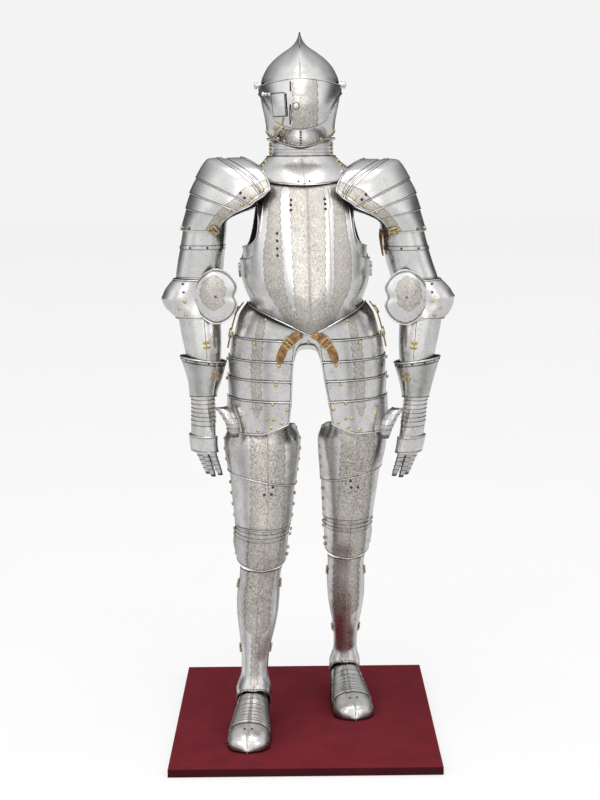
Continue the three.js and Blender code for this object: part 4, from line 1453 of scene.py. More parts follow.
@dataclass
class Workshop:
    """What every sub-assembly shares: the finishes, the fields of rivets and the loose fittings."""

    finishes: Finishes
    fields: dict[tuple[Stud, str], RivetField] = field(default_factory=dict)
    loose: dict[tuple[str, str], Draft] = field(default_factory=dict)
    strap_thick: float = 2.2
    punched: float = 1.3

    def heads(self, kind: Stud, body: str = "suit") -> RivetField:
        """Returns the field that holds one kind of rivet on one body."""
        if (kind, body) not in self.fields:
            finish = getattr(self.finishes, kind.value.finish)
            name = f"{kind.name.lower()}_heads_{body}"
            self.fields[kind, body] = RivetField(name, body, finish, flatness=kind.value.flatness)
        return self.fields[kind, body]

    def studs(
        self, kind: Stud, form: Form, spots: Pairs, lift: float,
        sign: int = 1, body: str = "suit",
    ) -> None:
        """Sets rivets of one kind on a form.

        Args:
            kind: The kind of rivet.
            form: The form.
            spots: Both arguments of the form for each rivet.
            lift: How far out the plate's skin stands there.
            sign: 1, or -1 where the form runs the other way round.
            body: The body that they move with.
        """
        u, v = (np.array(values, float) for values in zip(*spots))
        out = facing(form, u, v, sign)
        for point, way in zip(form(u, v) + out * lift, out):
            self.heads(kind, body).put(point, way, kind.value.radius)

    def fitting(self, finish: str, body: str = "suit") -> Draft:
        """Returns the draft that holds the loose fittings of one finish on one body."""
        return self.loose.setdefault((finish, body), Draft())

    def buckle(self, at: Spot, long: float = 21.0, wide: float = 22.0, finish: str = "brass") -> None:
        """Adds a square buckle with its bar and tongue."""
        metal = self.fitting(finish)
        metal.loop(at, long, wide, 2.6)
        metal.tube(np.array([at.moved(0, -wide / 2), at.moved(0, wide / 2)]), 1.6, 8)
        tongue = np.array([at.moved(t * long / 2, 0, 2.2 - 0.6 * t) for t in (-0.1, 0.3, 0.7, 1.1)])
        metal.tube(tongue, 1.3, 6)

    def hinge(self, at: Spot, wide: float, tall: float) -> None:
        """Adds a four-lobed hinge plate with its knuckle and four rivets."""
        metal = self.fitting("brass")
        for up in (-1, 1):
            for aside in (-1, 1):
                spot = at.moved(up * tall * 0.3, aside * wide * 0.32)
                metal.turned(spot, at.facing, [(0, 0), (0, 5.6), (0.9, 5.6), (1.3, 4.8), (1.3, 0)], 16)
                self.heads(Stud.SMALL_BRASS).put(spot + at.facing * 1.3, at.facing, 2.2)
        metal.tube(np.array([at.moved(-tall / 2, 0, 1.2), at.moved(tall / 2, 0, 1.2)]), 2.2, 10)

    def strap(self, spots: Sequence[Spot], half: float) -> None:
        """Adds a leather strap with a pointed end through the spots, and dark discs of painted shade for its
        holes.
        """
        share = np.linspace(0, 1, 28)
        keys = np.linspace(0, 1, len(spots))
        path, up = (
            np.stack([Curve(keys, rows[:, i])(share) for i in range(3)], axis=1) for rows in Spot.line(spots)
        )
        taper = np.sqrt(np.clip((1.02 - share) / 0.14, 0, 1))
        self.fitting("strap").ribbon(path, up, half * taper, self.strap_thick)
        for place in (17, 20, 23):
            out = unit(up[place])
            self.heads(Stud.HOLE).put(path[place] + out * self.strap_thick, out, self.punched)

    def finish_loose(self) -> None:
        """Builds every field of rivets and every draft of loose fittings."""
        for field_ in self.fields.values():
            field_.build()
        for (finish, body), draft in self.loose.items():
            obj = draft.build(f"{finish}_fittings_{body}", [getattr(self.finishes, finish)])
            finish_piece(obj, body, slot="leather" if finish in ("strap", "lining") else "steel")

    def plate(self, plate: Plate, body: str = "suit") -> None:
        """Builds a plate with its bright face and dark inside, standing for the node of its name."""
        obj = plate.draft().build(f"{plate.name}_plate", [self.finishes.steel, self.finishes.inside])
        finish_piece(obj, body, plate.name)


@dataclass
class Helmet:
    """Skull, chin guard, visor and its small door, on their own bodies."""

    shop: Workshop
    skull_lift: float = -2.0
    bevor_lift: float = STEP - 2
    visor_lift: float = 2 * STEP - 2
    door_lift: float = 3 * STEP - 1
    face_edge: float = 85.0
    tip: float = 1784.5
    door: tuple[float, float, float, float] = (-42.0, -17.0, 1572.0, 1628.0)

    def build(self) -> None:
        """Builds every piece."""
        self.skull()
        self.bevor()
        self.visor()
        self.visor_door()
        self.pivots()
        self.flange()
        self.catches()

    def pivots(self) -> None:
        """Adds the round-headed pivot screws."""
        metal = self.shop.fitting("steel", "helmet")
        shape = [
            (-5, 0), (-5, 9), (-1, 10), (1, 9), (1.5, 5), (3, 5), (4, 8.5), (7, 9.5), (10, 7.5), (11.5, 0),
        ]
        for side in (-1, 1):
            at = (PIVOT[0] + side * (102.5 + self.visor_lift), PIVOT[1], PIVOT[2] + SOLE_HEIGHT)
            metal.turned(at, (side, 0, 0), shape, 24)

    def lower_edge(self, angle: Array) -> Array:
        """Returns the height of the chin guard's lower edge."""
        return both_sides((0, 1498), (30, 1507), (60, 1525), (80, 1531), (92, 1532))(angle)

    def flange(self) -> None:
        """Adds the dark leather under the chin guard's edge, and its brass rivets."""
        angle = np.linspace(-84, 84, 90)
        h = self.lower_edge(angle) - 1.5
        up = facing(helmet_form, angle, h, 1)
        path = helmet_form(angle, h) + up * (self.bevor_lift - 3.6)
        self.shop.fitting("lining", "bevor").ribbon(path, up, 4.6, 1.6)
        turns = (-80, -69, -54, -41, -28, -14, 14, 24, 37, 52, 68, 80)
        spots = [(a, float(self.lower_edge(a)) + 5.5) for a in turns]
        self.shop.studs(Stud.BRASS, helmet_form, spots, self.bevor_lift + 0.4, body="bevor")
        seam = [(0.4, h_) for h_ in (1508, 1514.5, 1521, 1527.5, 1534)]
        self.shop.studs(Stud.STEEL, helmet_form, seam, self.bevor_lift - 0.4, body="bevor")

    def catches(self) -> None:
        """Adds the visor's knobs, latch, leaf spring and brass pin, and the hook on the chin guard."""
        steel, dark = self.shop.fitting("steel", "visor"), self.shop.fitting("inside", "visor")
        knob = [(-1, 0), (-1, 5), (1, 5), (2, 3), (6, 2.8), (8, 5), (11, 5.4), (13, 4), (14, 0)]
        boss = [(-1, 0), (-1, 7.5), (1, 7.5), (2.5, 6.5), (3, 5), (6, 4.4), (7, 0)]
        for angle, h, shape in ((-53, 1628, knob), (-5.6, 1596, boss)):
            spot = Spot.on(helmet_form, angle, h, self.visor_lift)
            foot = shape[1][1] + 2
            dark.turned(spot.point, spot.facing, [(-1, 0), (-1, foot), (0.7, foot - 0.4), (0.8, 0)], 20)
            steel.turned(spot.point, spot.facing, shape, 20)
        spring = [Spot.on(helmet_form, a, h, self.visor_lift + lift) for a, h, lift in (
            (-13.4, 1600, 1.0), (-13.8, 1584, 3.0), (-14.2, 1568, 3.4), (-14.8, 1554, 1.4),
        )]
        latch = [Spot.on(helmet_form, -12.5, h, self.visor_lift + 0.6) for h in (1654, 1646, 1638, 1631)]
        for spots, half in ((spring, 1.1), (latch, 1.5)):
            dark.ribbon(*Spot.line(spots), half, 1.8)
        pin = [Spot.on(helmet_form, a, h, self.visor_lift + 3.0) for a, h in ((-25.6, 1569), (-28, 1554))]
        self.shop.fitting("brass", "visor").tube(Spot.line(pin)[0], 1.9, 10)
        hook = [Spot.on(helmet_form, a, h, self.bevor_lift + lift) for a, h, lift in (
            (-28.6, 1545, 3.0), (-29.0, 1532, 3.0), (-31.5, 1528, 3.5), (-34, 1533, 3.0),
        )]
        brass = self.shop.fitting("brass", "bevor")
        brass.tube(Spot.line(hook)[0], 1.9, 10)
        turn_knob = Spot.on(helmet_form, -42, 1546, self.bevor_lift)
        head = [(-1, 0), (-1, 4.5), (3, 4), (7, 5.4), (10, 4.6), (11, 0)]
        brass.turned(turn_knob.point, turn_knob.facing, head, 16)

    def skull(self) -> None:
        """Builds the skull, open at the face."""
        low = both_sides((0, 1536), (92, 1532), (120, 1524), (180, 1512))
        brow = lambda angle, h: abs(angle) < self.face_edge and h < 1657
        angles = spread(-180, -self.face_edge, -6, 0, 6, self.face_edge, 180, pitch=3.6)[:-1]
        self.shop.plate(Plate(
            "helmet_skull", helmet_form, angles, low, self.tip, 56,
            self.skull_lift, ring=True, opening=brow, crest=1.6, crest_half=1.6,
        ), "helmet")

    def bevor(self) -> None:
        """Builds the chin guard with its rolled lower rim."""
        high = both_sides((0, 1551), (30, 1556), (44, 1578), (56, 1618), (70, 1645), (92, 1647))
        self.shop.plate(Plate(
            "helmet_bevor", helmet_form, spread(-92, 0, 92, pitch=2.6), self.lower_edge, high, 16,
            self.bevor_lift, rims=[Rim("low", 1.8), Rim("high", 1.2)], crest=1.2,
        ), "bevor")

    def visor(self) -> None:
        """Builds the visor round the opening of its door."""
        low = both_sides((0, 1543), (22, 1548), (42, 1562), (52, 1583), (61, 1608), (76, 1627), (97, 1632))
        high = both_sides((0, 1663), (30, 1658), (60, 1652), (97, 1650))
        start, stop, foot, head = self.door
        opening = lambda angle, h: start + 1 < angle < stop - 1 and foot + 3 < h < head - 3
        self.shop.plate(Plate(
            "visor", helmet_form, spread(-97, start + 1, stop - 1, 0, 97, pitch=2.4), low, high, 40,
            lambda angle, v, h: self.visor_lift + 2 * np.maximum(0, 1 - v / 0.25),
            rims=[Rim("low", 1.3), Rim("high", 1.4)], opening=opening, band=centre_band(12, 33),
        ), "visor")

    def visor_door(self) -> None:
        """Builds the ventilation door."""
        start, stop, foot, head = self.door
        self.shop.plate(Plate(
            "visor_door", helmet_form, spread(start, stop - 2.1, pitch=2.5), foot, head, 12,
            self.door_lift,
            rims=[Rim("start", 1.0)],
        ), "door")


@dataclass
class Collar:
    """The upright collar and the gorget's spreading plate."""

    shop: Workshop

    def build(self) -> None:
        """Builds both plates."""
        around = spread(-180, 0, 180, pitch=4)[:-1]
        self.shop.plate(Plate(
            "gorget_collar", collar_form, around, 1464, 1517.5, 10, ring=True, rims=[Rim("high", 4.0)],
            lames=[0.02, 0.18, 0.34, 0.5, 0.66], lame_depth=1.3, lame_line=2.8,
            # Painted shadow: a dark band just under the wide rolled rim at the top.
            painted_shade=lambda angle, v: 0.7 * bell(v, 0.84, 0.05),
        ))
        low = both_sides((0, 1405), (30, 1410), (60, 1424), (90, 1434), (130, 1426), (180, 1412))
        self.shop.plate(Plate(
            "gorget_plate", gorget_form, spread(-180, -6, 0, 6, 180, pitch=4)[:-1], low, GORGET_TOP, 14,
            ring=True, rims=[Rim("low", 1.4)], crest=1.2,
        ))
        self.fittings()

    def fittings(self) -> None:
        """Adds the rivets down both sides of the neck and along the front, and a steel buckle on each side.
        """
        for side in (-1, 1):
            neck = [(side * a, h) for a, h in ((78, 1504), (77, 1494), (76, 1484), (75, 1474))]
            self.shop.studs(Stud.BRASS, collar_form, neck, 2.0)
            slope = [(side * a, h) for a, h in ((70, 1462), (64, 1452), (58, 1443))]
            self.shop.studs(Stud.BRASS, gorget_form, slope, 0.6)
            hook = Spot.on(gorget_form, side * 53, 1434, 2.0, lean=side * -35)
            self.shop.buckle(hook, 20, 15, "steel")
        self.shop.studs(Stud.STEEL, gorget_form, [(-6, 1413), (5, 1413)], 0.6)


@dataclass
class Cuirass:
    """Breastplate, backplate and the armhole gussets."""

    shop: Workshop
    band_turn: Curve = Curve((1045, 1088, 1147, 1215, 1306, 1400), (12, 22, 28.5, 29.5, 27.5, 27))
    band_half: Curve = Curve((1045, 1088, 1147, 1215, 1306, 1400), (10, 22, 28, 29, 20, 17))

    def build(self) -> None:
        """Builds every plate."""
        self.breastplate()
        self.backplate()
        for side in (RIGHT, LEFT):
            self.gusset(side)

    def breastplate(self) -> None:
        """Builds the breastplate with its keel and etched bands."""
        high = both_sides(
            (0, 1414), (30, 1416), (35, 1420), (38, 1400), (40.5, 1300), (47, 1240), (60, 1222), (92, 1213),
        )
        self.shop.plate(Plate(
            "breastplate", body_form, spread(-92, -41, -36, -5, 0, 5, 36, 41, 92, pitch=1.6),
            waist_line, high, 44,
            lambda angle, v, h: 8 * np.maximum(0, 1 - v / 0.09) ** 2,
            rims=[Rim("low", 1.8), Rim("high", 2.0)], crest=2.0, crest_half=1.1,
            band=nearest_band(
                centre_band(0, Curve((1040, 1120, 1400), (30, 40, 45))),
                arc_band(self.band_turn, self.band_half, 165),
            ),
            # Painted shade: the flared waist edge is darkened, more towards the sides.
            painted_shade=lambda angle, v: (
                0.75 * np.clip(1 - v / 0.1, 0, 1) * np.clip(np.abs(angle) / 30 + 0.35, 0, 1)
            ),
        ))
        self.fittings()

    def fittings(self) -> None:
        """Adds the lacing holes, drawn as dark discs of painted shade, and two steel buckles on each side."""
        right = [(-12.3, h) for h in (1367.6, 1355.3, 1343)] + [(-24.4, h) for h in (1286, 1268, 1249, 1232)]
        left = [(13.8, h) for h in (1369, 1357, 1345)]
        self.shop.studs(Stud.HOLE, body_form, right + left, 0.2)
        for side in (-1, 1):
            at = Spot.on(body_form, side * 88, 1180, 3.0)
            self.shop.buckle(at, 24, 16, "steel")
            self.shop.buckle(Spot.on(body_form, side * 88, 1196, 3.0), 12, 10, "steel")

    def backplate(self) -> None:
        """Builds the plain backplate."""
        curve = both_sides((0, 1416), (40, 1426), (46, 1400), (52, 1300), (62, 1250), (96, 1214))
        self.shop.plate(Plate(
            "backplate", body_form, spread(86, 134, 180, 226, 274, pitch=2.4), 1106,
            lambda angle: curve(np.asarray(angle) - 180), 24, -STEP - 1,
            rims=[Rim("high", 1.8), Rim("low", 1.5)],
        ))

    def gusset(self, side: Side) -> None:
        """Builds the rimmed plate that fills one armhole's edge."""
        hole = Table("along plateAngle plateH rimAngle rimH", [
            (0, 41, 1372, 50, 1362),
            (0.25, 35, 1318, 46.5, 1318),
            (0.5, 36, 1264, 49, 1278),
            (0.75, 50, 1229, 60, 1255),
            (1, 88, 1214, 88, 1244),
        ])

        def form(along: Array, across: Array) -> Array:
            """Returns points on the gusset."""
            row = hole(along)
            angle = row["plateAngle"] - 2 + (row["rimAngle"] - row["plateAngle"] + 2) * across
            h = row["plateH"] - 8 + (row["rimH"] - row["plateH"] + 8) * across
            return body_form(side.sign * angle, h)

        stretched = lambda along, across: form(np.asarray(along) / 60, across)
        self.shop.plate(Plate(
            f"gusset_{side.name}", stretched, spread(0, 60, pitch=1.5), 0, 1, 6,
            -STEP - 5, sign=side.sign, rims=[Rim("high", 2.6)],
        ))


@dataclass
class Skirt:
    """Fauld, culet, tassets and their straps."""

    shop: Workshop
    seam: float = 1020.0
    tops: tuple[float, ...] = (1020.0, 965.0, 915.0, 862.0)
    hem_flare: float = 2.0
    lame_step: float = STEP + 1

    def build(self) -> None:
        """Builds every plate and strap."""
        self.fauld()
        self.culet()
        for side in (RIGHT, LEFT):
            self.tasset(side)
            self.strap(side)
            self.side_strap(side)

    def fauld(self) -> None:
        """Builds the plate under the waist, arched between the thighs."""
        low = both_sides(
            (0, 1012), (3, 1010.5), (5, 1006), (6.4, 996), (7.4, 978), (7.6, self.seam), (92, self.seam),
        )
        self.shop.plate(Plate(
            "fauld", skirt_form, spread(-93, -7.6, -7.4, -6.4, 0, 6.4, 7.4, 7.6, 93, pitch=1.4), low,
            lambda angle: waist_line(angle) + 2, 14,
            lambda angle, v, h: -3.5 - STEP * (1 - v), laps=(LAP, 0), band=arc_band(38, 17, 200),
            # Painted shade: the top of the fauld is darkened where it runs under the breastplate.
            painted_shade=lambda angle, v: 0.8 * np.clip((v - 0.55) / 0.45, 0, 1) ** 1.5,
        ))
        self.shop.studs(Stud.BRASS, skirt_form, [(-34.5, 1071.6), (33.2, 1068.5)], -3.5)
        self.shop.studs(Stud.BRASS, skirt_form, [(0.7, 1016)], -5.0)

    def culet(self) -> None:
        """Builds the plain plate over the seat."""
        self.shop.plate(Plate(
            "culet", skirt_form, spread(95, 180, 265, pitch=3), 985, 1100, 10,
            -2 * STEP - 1, rims=[Rim("low", 1.8)],
        ))

    def tasset(self, side: Side) -> None:
        """Builds the four lames of one tasset, each lapping over the one above."""
        edge = Table("h right left outer", [
            (780, 62, 70, 80), (800, 50, 62, 82), (820, 47, 60, 84),
            (867, 42, 53, 88), (935, 39, 41, 93), (1025, 31, 31, 98),
        ])

        def form(share: Array, h: Array) -> Array:
            """Returns points on the tasset; the share runs from its inner edge to its outer, 0 to 100."""
            row = edge(h)
            inner = skirt_turn(row[side.name], h)
            return skirt_form(side.sign * (inner + (row["outer"] - inner) * np.asarray(share) / 100), h)

        rivets = [
            (10.8, 957), (12.6, 907), (15.6, 857), (2.8, 844), (14.2, 819), (21, 819), (6.2, 809),
            (16.3, 796),
            (29.8, 787), (47.9, 782), (55.6, 822), (36.3, 1010), (92, 1010), (92, 955), (92, 905),
        ]
        self.shop.studs(Stud.BRASS, form, rivets, 1.6, side.sign)
        hem = lambda share: 779 + 28 * np.maximum(0, 1 - share / 28) ** 1.8 - 0.06 * share
        for i, top in enumerate(self.tops):
            last = i == len(self.tops) - 1
            low: Edge = hem if last else self.tops[i + 1]
            lift = (
                (lambda angle, v, h: self.hem_flare * (1 - v) ** 2) if last
                else (lambda angle, v, h: -self.lame_step * (1 - v))
            )
            rims = [Rim("high", 1.3), Rim("start", 1.9)] + ([Rim("low", 2.0)] if last else [])
            self.shop.plate(Plate(
                f"tasset_{side.name}_{i + 1}", form, spread(0, 6, 30, 100, pitch=2.5), low, top,
                12 if last else 7, lift, sign=side.sign, laps=(0 if last else LAP, 0), rims=rims,
                band=lambda share, h, points: (
                    (share - 33) * 2.65, h, np.where(h > 840, 17.0, 17.0 * np.clip((h - 815) / 25, 0, 1))
                ),
                painted_shade=self.shade,
            ))

    def shade(self, share: Array, v: Array) -> Array:
        """Returns a tasset lame's painted shade: upright dark streaks that are painted dark reflections, and
        painted shade towards its outer edge.
        """
        streaks = 0.34 * bell(share, 22, 4) + 0.42 * bell(share, 68, 9)
        return streaks * (0.75 + 0.25 * v) + 0.55 * np.clip((share - 84) / 16, 0, 1)

    def strap(self, side: Side) -> None:
        """Builds the strap that ties a tasset to the fauld."""
        route = Table("along q h out", [
            (0, 14, 1040, 3.4), (0.35, 36, 1026, 4.4), (0.7, 58, 1001, 5.4), (1, 70, 966, 5.4),
        ])

        def spot(along: float, out: Optional[float] = None, lean: float = 0.0) -> Spot:
            """Returns a spot on the route, at the strap's own lift or at another."""
            row = route(along)
            turn, h = float(skirt_turn(row["q"], row["h"])), float(row["h"])
            lift = float(row["out"]) if out is None else out
            return Spot.on(skirt_form, side.sign * turn, h, lift, lean=lean)

        spots = [spot(along) for along in np.linspace(0, 1, 9)]
        self.shop.strap(spots, 10.5)
        centre, ahead = spots[4], spots[5].point - spots[3].point
        lean = math.degrees(math.atan2(float(ahead @ centre.across), float(ahead @ centre.along)))
        self.shop.buckle(spot(0.5, 7.4, lean), 22, 25)
        keeper = spot(0.5, 7.0, lean)
        path = np.stack([keeper.moved(-16, t, 0.8 - 0.02 * abs(t)) for t in (-12.5, 0, 12.5)])
        band = Draft()
        band.ribbon(path, np.tile(keeper.facing, (3, 1)), 3.2, 2.0)
        name = f"tasset_strap_{side.name}"
        obj = band.build(f"{name}_keeper", [self.shop.finishes.strap])
        finish_piece(obj, "suit", name, slot="leather")
        top = Spot.on(skirt_form, side.sign * 5.5, 1038, 5.4)
        self.shop.heads(Stud.SMALL_BRASS).put(top.point, top.facing, 2.6)

    def side_strap(self, side: Side) -> None:
        """Adds the strap and two buckles at the hip, which close the cuirass over the skirt."""
        spots = [Spot.on(skirt_form, side.sign * a, h, lift) for a, h, lift in (
            (86, 1098, 3.5), (84, 1070, 3.5), (81.5, 1040, 3.5), (80, 1012, 4.0), (79.5, 985, 5.0),
        )]
        self.shop.strap(spots, 9.0)
        for angle, h in ((84.6, 1078), (80.6, 1024)):
            self.shop.buckle(Spot.on(skirt_form, side.sign * angle, h, 6.6, lean=180), 20, 23)


@dataclass
class Arm:
    """Pauldron, cannons, couter and gauntlet of one arm."""

    shop: Workshop
    side: Side
    finger_top: float = 736.0
    finger_lean: float = 28.0
    finger_tip: float = 6.5

    def build(self) -> None:
        """Builds every plate."""
        self.pauldron()
        self.cannons()
        self.couter()
        self.gauntlet()

    def named(self, name: str) -> str:
        """Returns a node's name on this side."""
        return f"{name}_{self.side.name}"

    def finish(self, draft: Draft, node: str) -> None:
        """Builds a draft of this arm as one piece, standing for a node."""
        finishes = self.shop.finishes
        obj = draft.build(self.named(f"{node}_plate"), [finishes.steel, finishes.inside])
        finish_piece(obj, "suit", self.named(node))

    def pauldron(self) -> None:
        """Builds the five plates over the shoulder."""
        form = shoulder_form(self.side)
        over = 0.22
        shade_dark = arc_band(-75, 15, 125, mirrored=False)
        lines = {"upper": ([0.0, 0.735], 1.5), "main": ([0.0, 0.175], 1.4)}
        for name, start, stop, tuck in (
            ("upper", 0, 2, "high"), ("main", 2, 4, "none"), ("lame_1", 4, 5, "low"),
            ("lame_2", 5, 6, "low"), ("lame_3", 6, 7, "low"),
        ):
            ramp = {
                "none": lambda row, a=start, b=stop: row * 0.0,
                "high": lambda row, a=start, b=stop: (row - a) / (b - a),
                "low": lambda row, a=start, b=stop: (b - row) / (b - a),
            }[tuck]
            laps = {"none": (0, 0), "high": (0, over), "low": (over, 0)}[tuck]
            rims = [Rim("start", 1.9), Rim("end", 1.9)]
            lames, depth = lines.get(name, ((), 1.0))
            if tuck != "high":
                rims += [Rim("low", 1.3)] if tuck == "none" else []
                rims += [Rim("high", 1.6 if name == "lame_3" else 1.2)]
            else:
                rims += [Rim("low", 1.8)]
            self.shop.plate(Plate(
                f"pauldron_{name}_{self.side.name}", form, spread(-84, 84, pitch=2.4), start, stop,
                16 if name in ("upper", "main") else 8,
                lambda angle, v, row, ramp=ramp: -STEP * ramp(np.asarray(row)),
                sign=-self.side.sign, laps=laps, rims=rims, band=shade_dark, lames=lames, lame_depth=depth,
            ))
        sign = -self.side.sign
        row = [
            (-79, 1.8), (-80, 3.2), (-79, 4.3), (-78, 5.2), (-76.5, 6.1), (-72, 6.7), (-16, 6.75), (30, 6.75),
        ]
        self.shop.studs(Stud.BRASS, form, row, 0.4, sign)
        bolts = [(0, 0.35), (-40, 6.75), (74, 1.8), (74, 4.3), (74, 5.4)]
        self.shop.studs(Stud.STEEL, form, bolts, 0.4, sign)
        self.shop.studs(Stud.HOLE, form, [(-70, 3.55), (-75.5, 3.65)], 0.0, sign)
        self.shop.buckle(Spot.on(form, -81, 6.75, 3.0, sign, 20), 21, 22)
        arm = arm_form(self.side)
        spots = [Spot.on(arm, a, h, lift) for a, h, lift in (
            (-62, 1292, 5), (-70, 1276, 6), (-76, 1258, 5.5), (-80, 1240, 5), (-82, 1226, 5),
        )]
        self.shop.strap(spots, 9.0)

    def cannons(self) -> None:
        """Builds the tubes of the upper arm and forearm."""
        form, around = arm_form(self.side), spread(-180, 180, pitch=6)[:-1]
        self.shop.plate(Plate(
            self.named("upper_cannon"), form, around, 1166, 1310, 18,
            lambda angle, v, h: 1.4 * ((h > 1240) & (h < 1250)),
            sign=self.side.sign, ring=True, stops=[0.512, 0.515, 0.584, 0.587], rims=[Rim("low", 1.4)],
            lames=[0.515, 0.584], lame_depth=0.01,
        ))
        sign = self.side.sign
        self.shop.studs(Stud.STEEL, form, [(a, 1245) for a in (-15, 30, 75)], 1.4, sign)
        self.shop.plate(Plate(
            self.named("lower_cannon"), form, around, 925, 1070, 14,
            sign=self.side.sign, ring=True, rims=[Rim("high", 1.4)],
        ))
        seam = np.stack([Spot.on(form, -15, h, 0.1, sign).point for h in (1066, 1030, 995, 960)])
        self.shop.fitting("inside").tube(seam, 0.8, 6)
        rivets = [(-8, 1004), (-24, 1004), (-8, 990), (-24, 990)]
        self.shop.studs(Stud.SMALL_BRASS, form, rivets, 0.4, sign)
        self.shop.hinge(Spot.on(form, -15, 996, 0.4, sign), 12, 20)

    def couter(self) -> None:
        """Builds the elbow cup and its heart-shaped wing as one piece."""
        bulge = Curve((1062, 1072, 1088, 1112, 1136, 1152, 1162), (4, 14, 32, 42, 32, 14, 4))
        cup = Plate(
            "cup", arm_form(self.side), spread(-12, 200, pitch=4), 1062, 1162, 26,
            lambda angle, v, h: 4 + bulge(h) * np.maximum(
                0, np.sin(np.radians(np.clip(angle - 10, 0, 180)))) ** 1.2,
            sign=self.side.sign, rims=[Rim("low", 1.6), Rim("high", 1.6)],
        ).draft()
        sign = self.side.sign
        rivets = [(34.5, 1154, 13), (31, 1134, 24), (27, 1106, 31), (42, 1086, 28), (30, 1072, 13)]
        for angle, h, lift in rivets:
            kind = Stud.STEEL if h > 1110 else Stud.BRASS
            self.shop.studs(kind, arm_form(self.side), [(angle, h)], lift * 0.62 + 2, sign)
        self.wing(cup)
        self.finish(cup, "couter")

    def wing(self, draft: Draft) -> None:
        """Adds the dished heart over the bend, its notch towards the body."""
        centre_q = {"right": 227.0, "left": 262.0}[self.side.name]
        wide, tall, notch = 59.0, 70.0, 12.0

        def form(turn: Array, reach: Array) -> Array:
            """Returns points on the wing."""
            a = np.radians(turn)
            point = np.maximum(0, np.cos(a))
            dent = 1 - notch / wide * np.exp(-(((np.asarray(turn) - 180) / 13) ** 2))
            q = centre_q + wide * reach * np.cos(a) * dent
            h = 1121 + tall * reach * np.sin(a) * (1 - 0.12 * point)
            y = -17 + (6 + 20 * point**2) * reach**2
            return stack(ARMS_X + self.side.sign * q, y, h - self.side.drop)

        plate = Plate(
            "wing", form, spread(0, 360, pitch=5)[:-1], 0.001, 1, 18, sign=-self.side.sign, ring=True,
            rims=[Rim("high", 1.9)], band=self.palmette, lames=[0.93], lame_depth=0.01,
        )
        draft.take(plate.draft())

    def palmette(self, turn: Array, reach: Array, points: Array) -> Sequence[Array]:
        """Returns the wing's etched field, a rounded leaf in its upper half."""
        across = 59 * reach * np.cos(np.radians(turn)) - 6
        along = 70 * reach * np.sin(np.radians(turn)) - 10
        return across, along, 36 * np.sqrt(np.clip(1 - (along / 46) ** 2, 0, 1))

    def gauntlet(self) -> None:
        """Builds cuff, hand plate, fingers and thumb."""
        form = arm_form(self.side)
        self.shop.plate(Plate(
            self.named("gauntlet_cuff"), form, spread(-180, 180, pitch=6)[:-1], 858,
            lambda angle: 956 + 9 * np.sin(np.radians(angle)), 16,
            lambda angle, v, h: 4 + 12 * v**1.5, sign=self.side.sign, ring=True,
            rims=[Rim("high", 2.0), Rim("low", 1.4)], lames=[0.9],
            # Painted shade all round, with upright dark streaks that are painted dark reflections.
            painted_shade=lambda angle, v: 0.16 + 0.3 * bell(angle, 20, 18) + 0.25 * bell(angle, -50, 12),
        ))
        sign = self.side.sign
        turns = (-75, -45, -15, 15, 45, 72, 110, 160, 220)
        rim = [(a, 956 + 9 * math.sin(math.radians(a)) - 5) for a in turns]
        self.shop.studs(Stud.STEEL, form, rim, 14.6, sign)
        self.shop.hinge(Spot.on(form, -38, 915, 9.6, sign), 26, 24)
        spine = ((952, 15.4), (915, 8.8), (862, 4.2))
        ridge = np.stack([Spot.on(form, -38, h, lift, sign).point for h, lift in spine])
        self.shop.fitting("steel").tube(ridge, 1.3, 8)
        fan = [(-40 + 24 * t, 856 - 62 * t) for t in np.linspace(0, 1, 7)]
        self.shop.studs(Stud.SMALL_BRASS, form, fan, 1.6, sign)
        self.shop.plate(Plate(
            self.named("gauntlet_hand"), form, spread(-58, 214, pitch=5), 746, 866, 24,
            sign=self.side.sign, rims=[Rim("start", 1.2), Rim("end", 1.2)], lame_depth=1.8,
            lames=[0.32, 0.42, 0.51, 0.6, 0.69, 0.78, 0.87, 0.96],
        ))
        self.fingers()
        self.thumb()

    def fingers(self) -> None:
        """Builds the knuckle plate and the four scaled fingers as one piece."""
        row = ARM(self.finger_top)
        turn = math.radians(float(row["turn"]))
        draft = Plate(
            "knuckles", arm_form(self.side), spread(-30, 205, pitch=5), 716, 756, 8,
            STEP + 2, sign=self.side.sign, rims=[Rim("high", 2.0, rope=7), Rim("low", 1.4)],
        ).draft()
        for across, raised, length, radius in (
            (32, 5, 80, 11.5), (11, 12, 86, 11.5), (-11, 12, 82, 11.5), (-32, 5, 68, 10.5),
        ):
            q = float(row[f"{self.side.name}Q"]) + raised * math.cos(turn) - across * math.sin(turn)
            y = float(row["y"]) - raised * math.sin(turn) - across * math.cos(turn)
            stations = [(
                q - self.finger_lean * t, y - 3 * t, self.finger_top - length * t,
                radius + (self.finger_tip - radius) * t,
            ) for t in (0, 0.35, 0.7, 1)]
            self.scales(draft, stations, (-75, 175), max(5, int(length / 10)))
        self.finish(draft, "gauntlet_fingers")

    def thumb(self) -> None:
        """Builds the thumb's row of scales."""
        shift = 22.0 if self.side is LEFT else 0.0
        stations = [(q + shift, y, h, r) for q, y, h, r in (
            (222, -38, 842, 19), (204, -55, 830, 18), (190, -69, 808, 17),
            (183, -76, 787, 14), (181, -79, 768, 10),
        )]
        draft = Draft()
        self.scales(draft, stations, (-100, 80), 7)
        self.finish(draft, "gauntlet_thumb")

    def scales(
        self, draft: Draft, stations: Sequence[tuple[float, float, float, float]],
        span: tuple[float, float], count: int,
    ) -> None:
        """Adds lapping half-round scales along a finger.

        Args:
            draft: The mesh.
            stations: Distance outward, depth, height and radius at stations along the finger.
            span: Start and end angles of the scales.
            count: How many scales.
        """
        reach = [i / (len(stations) - 1) for i in range(len(stations))]
        line = Table("s q y h r", [(s, *station) for s, station in zip(reach, stations)])
        side = self.side

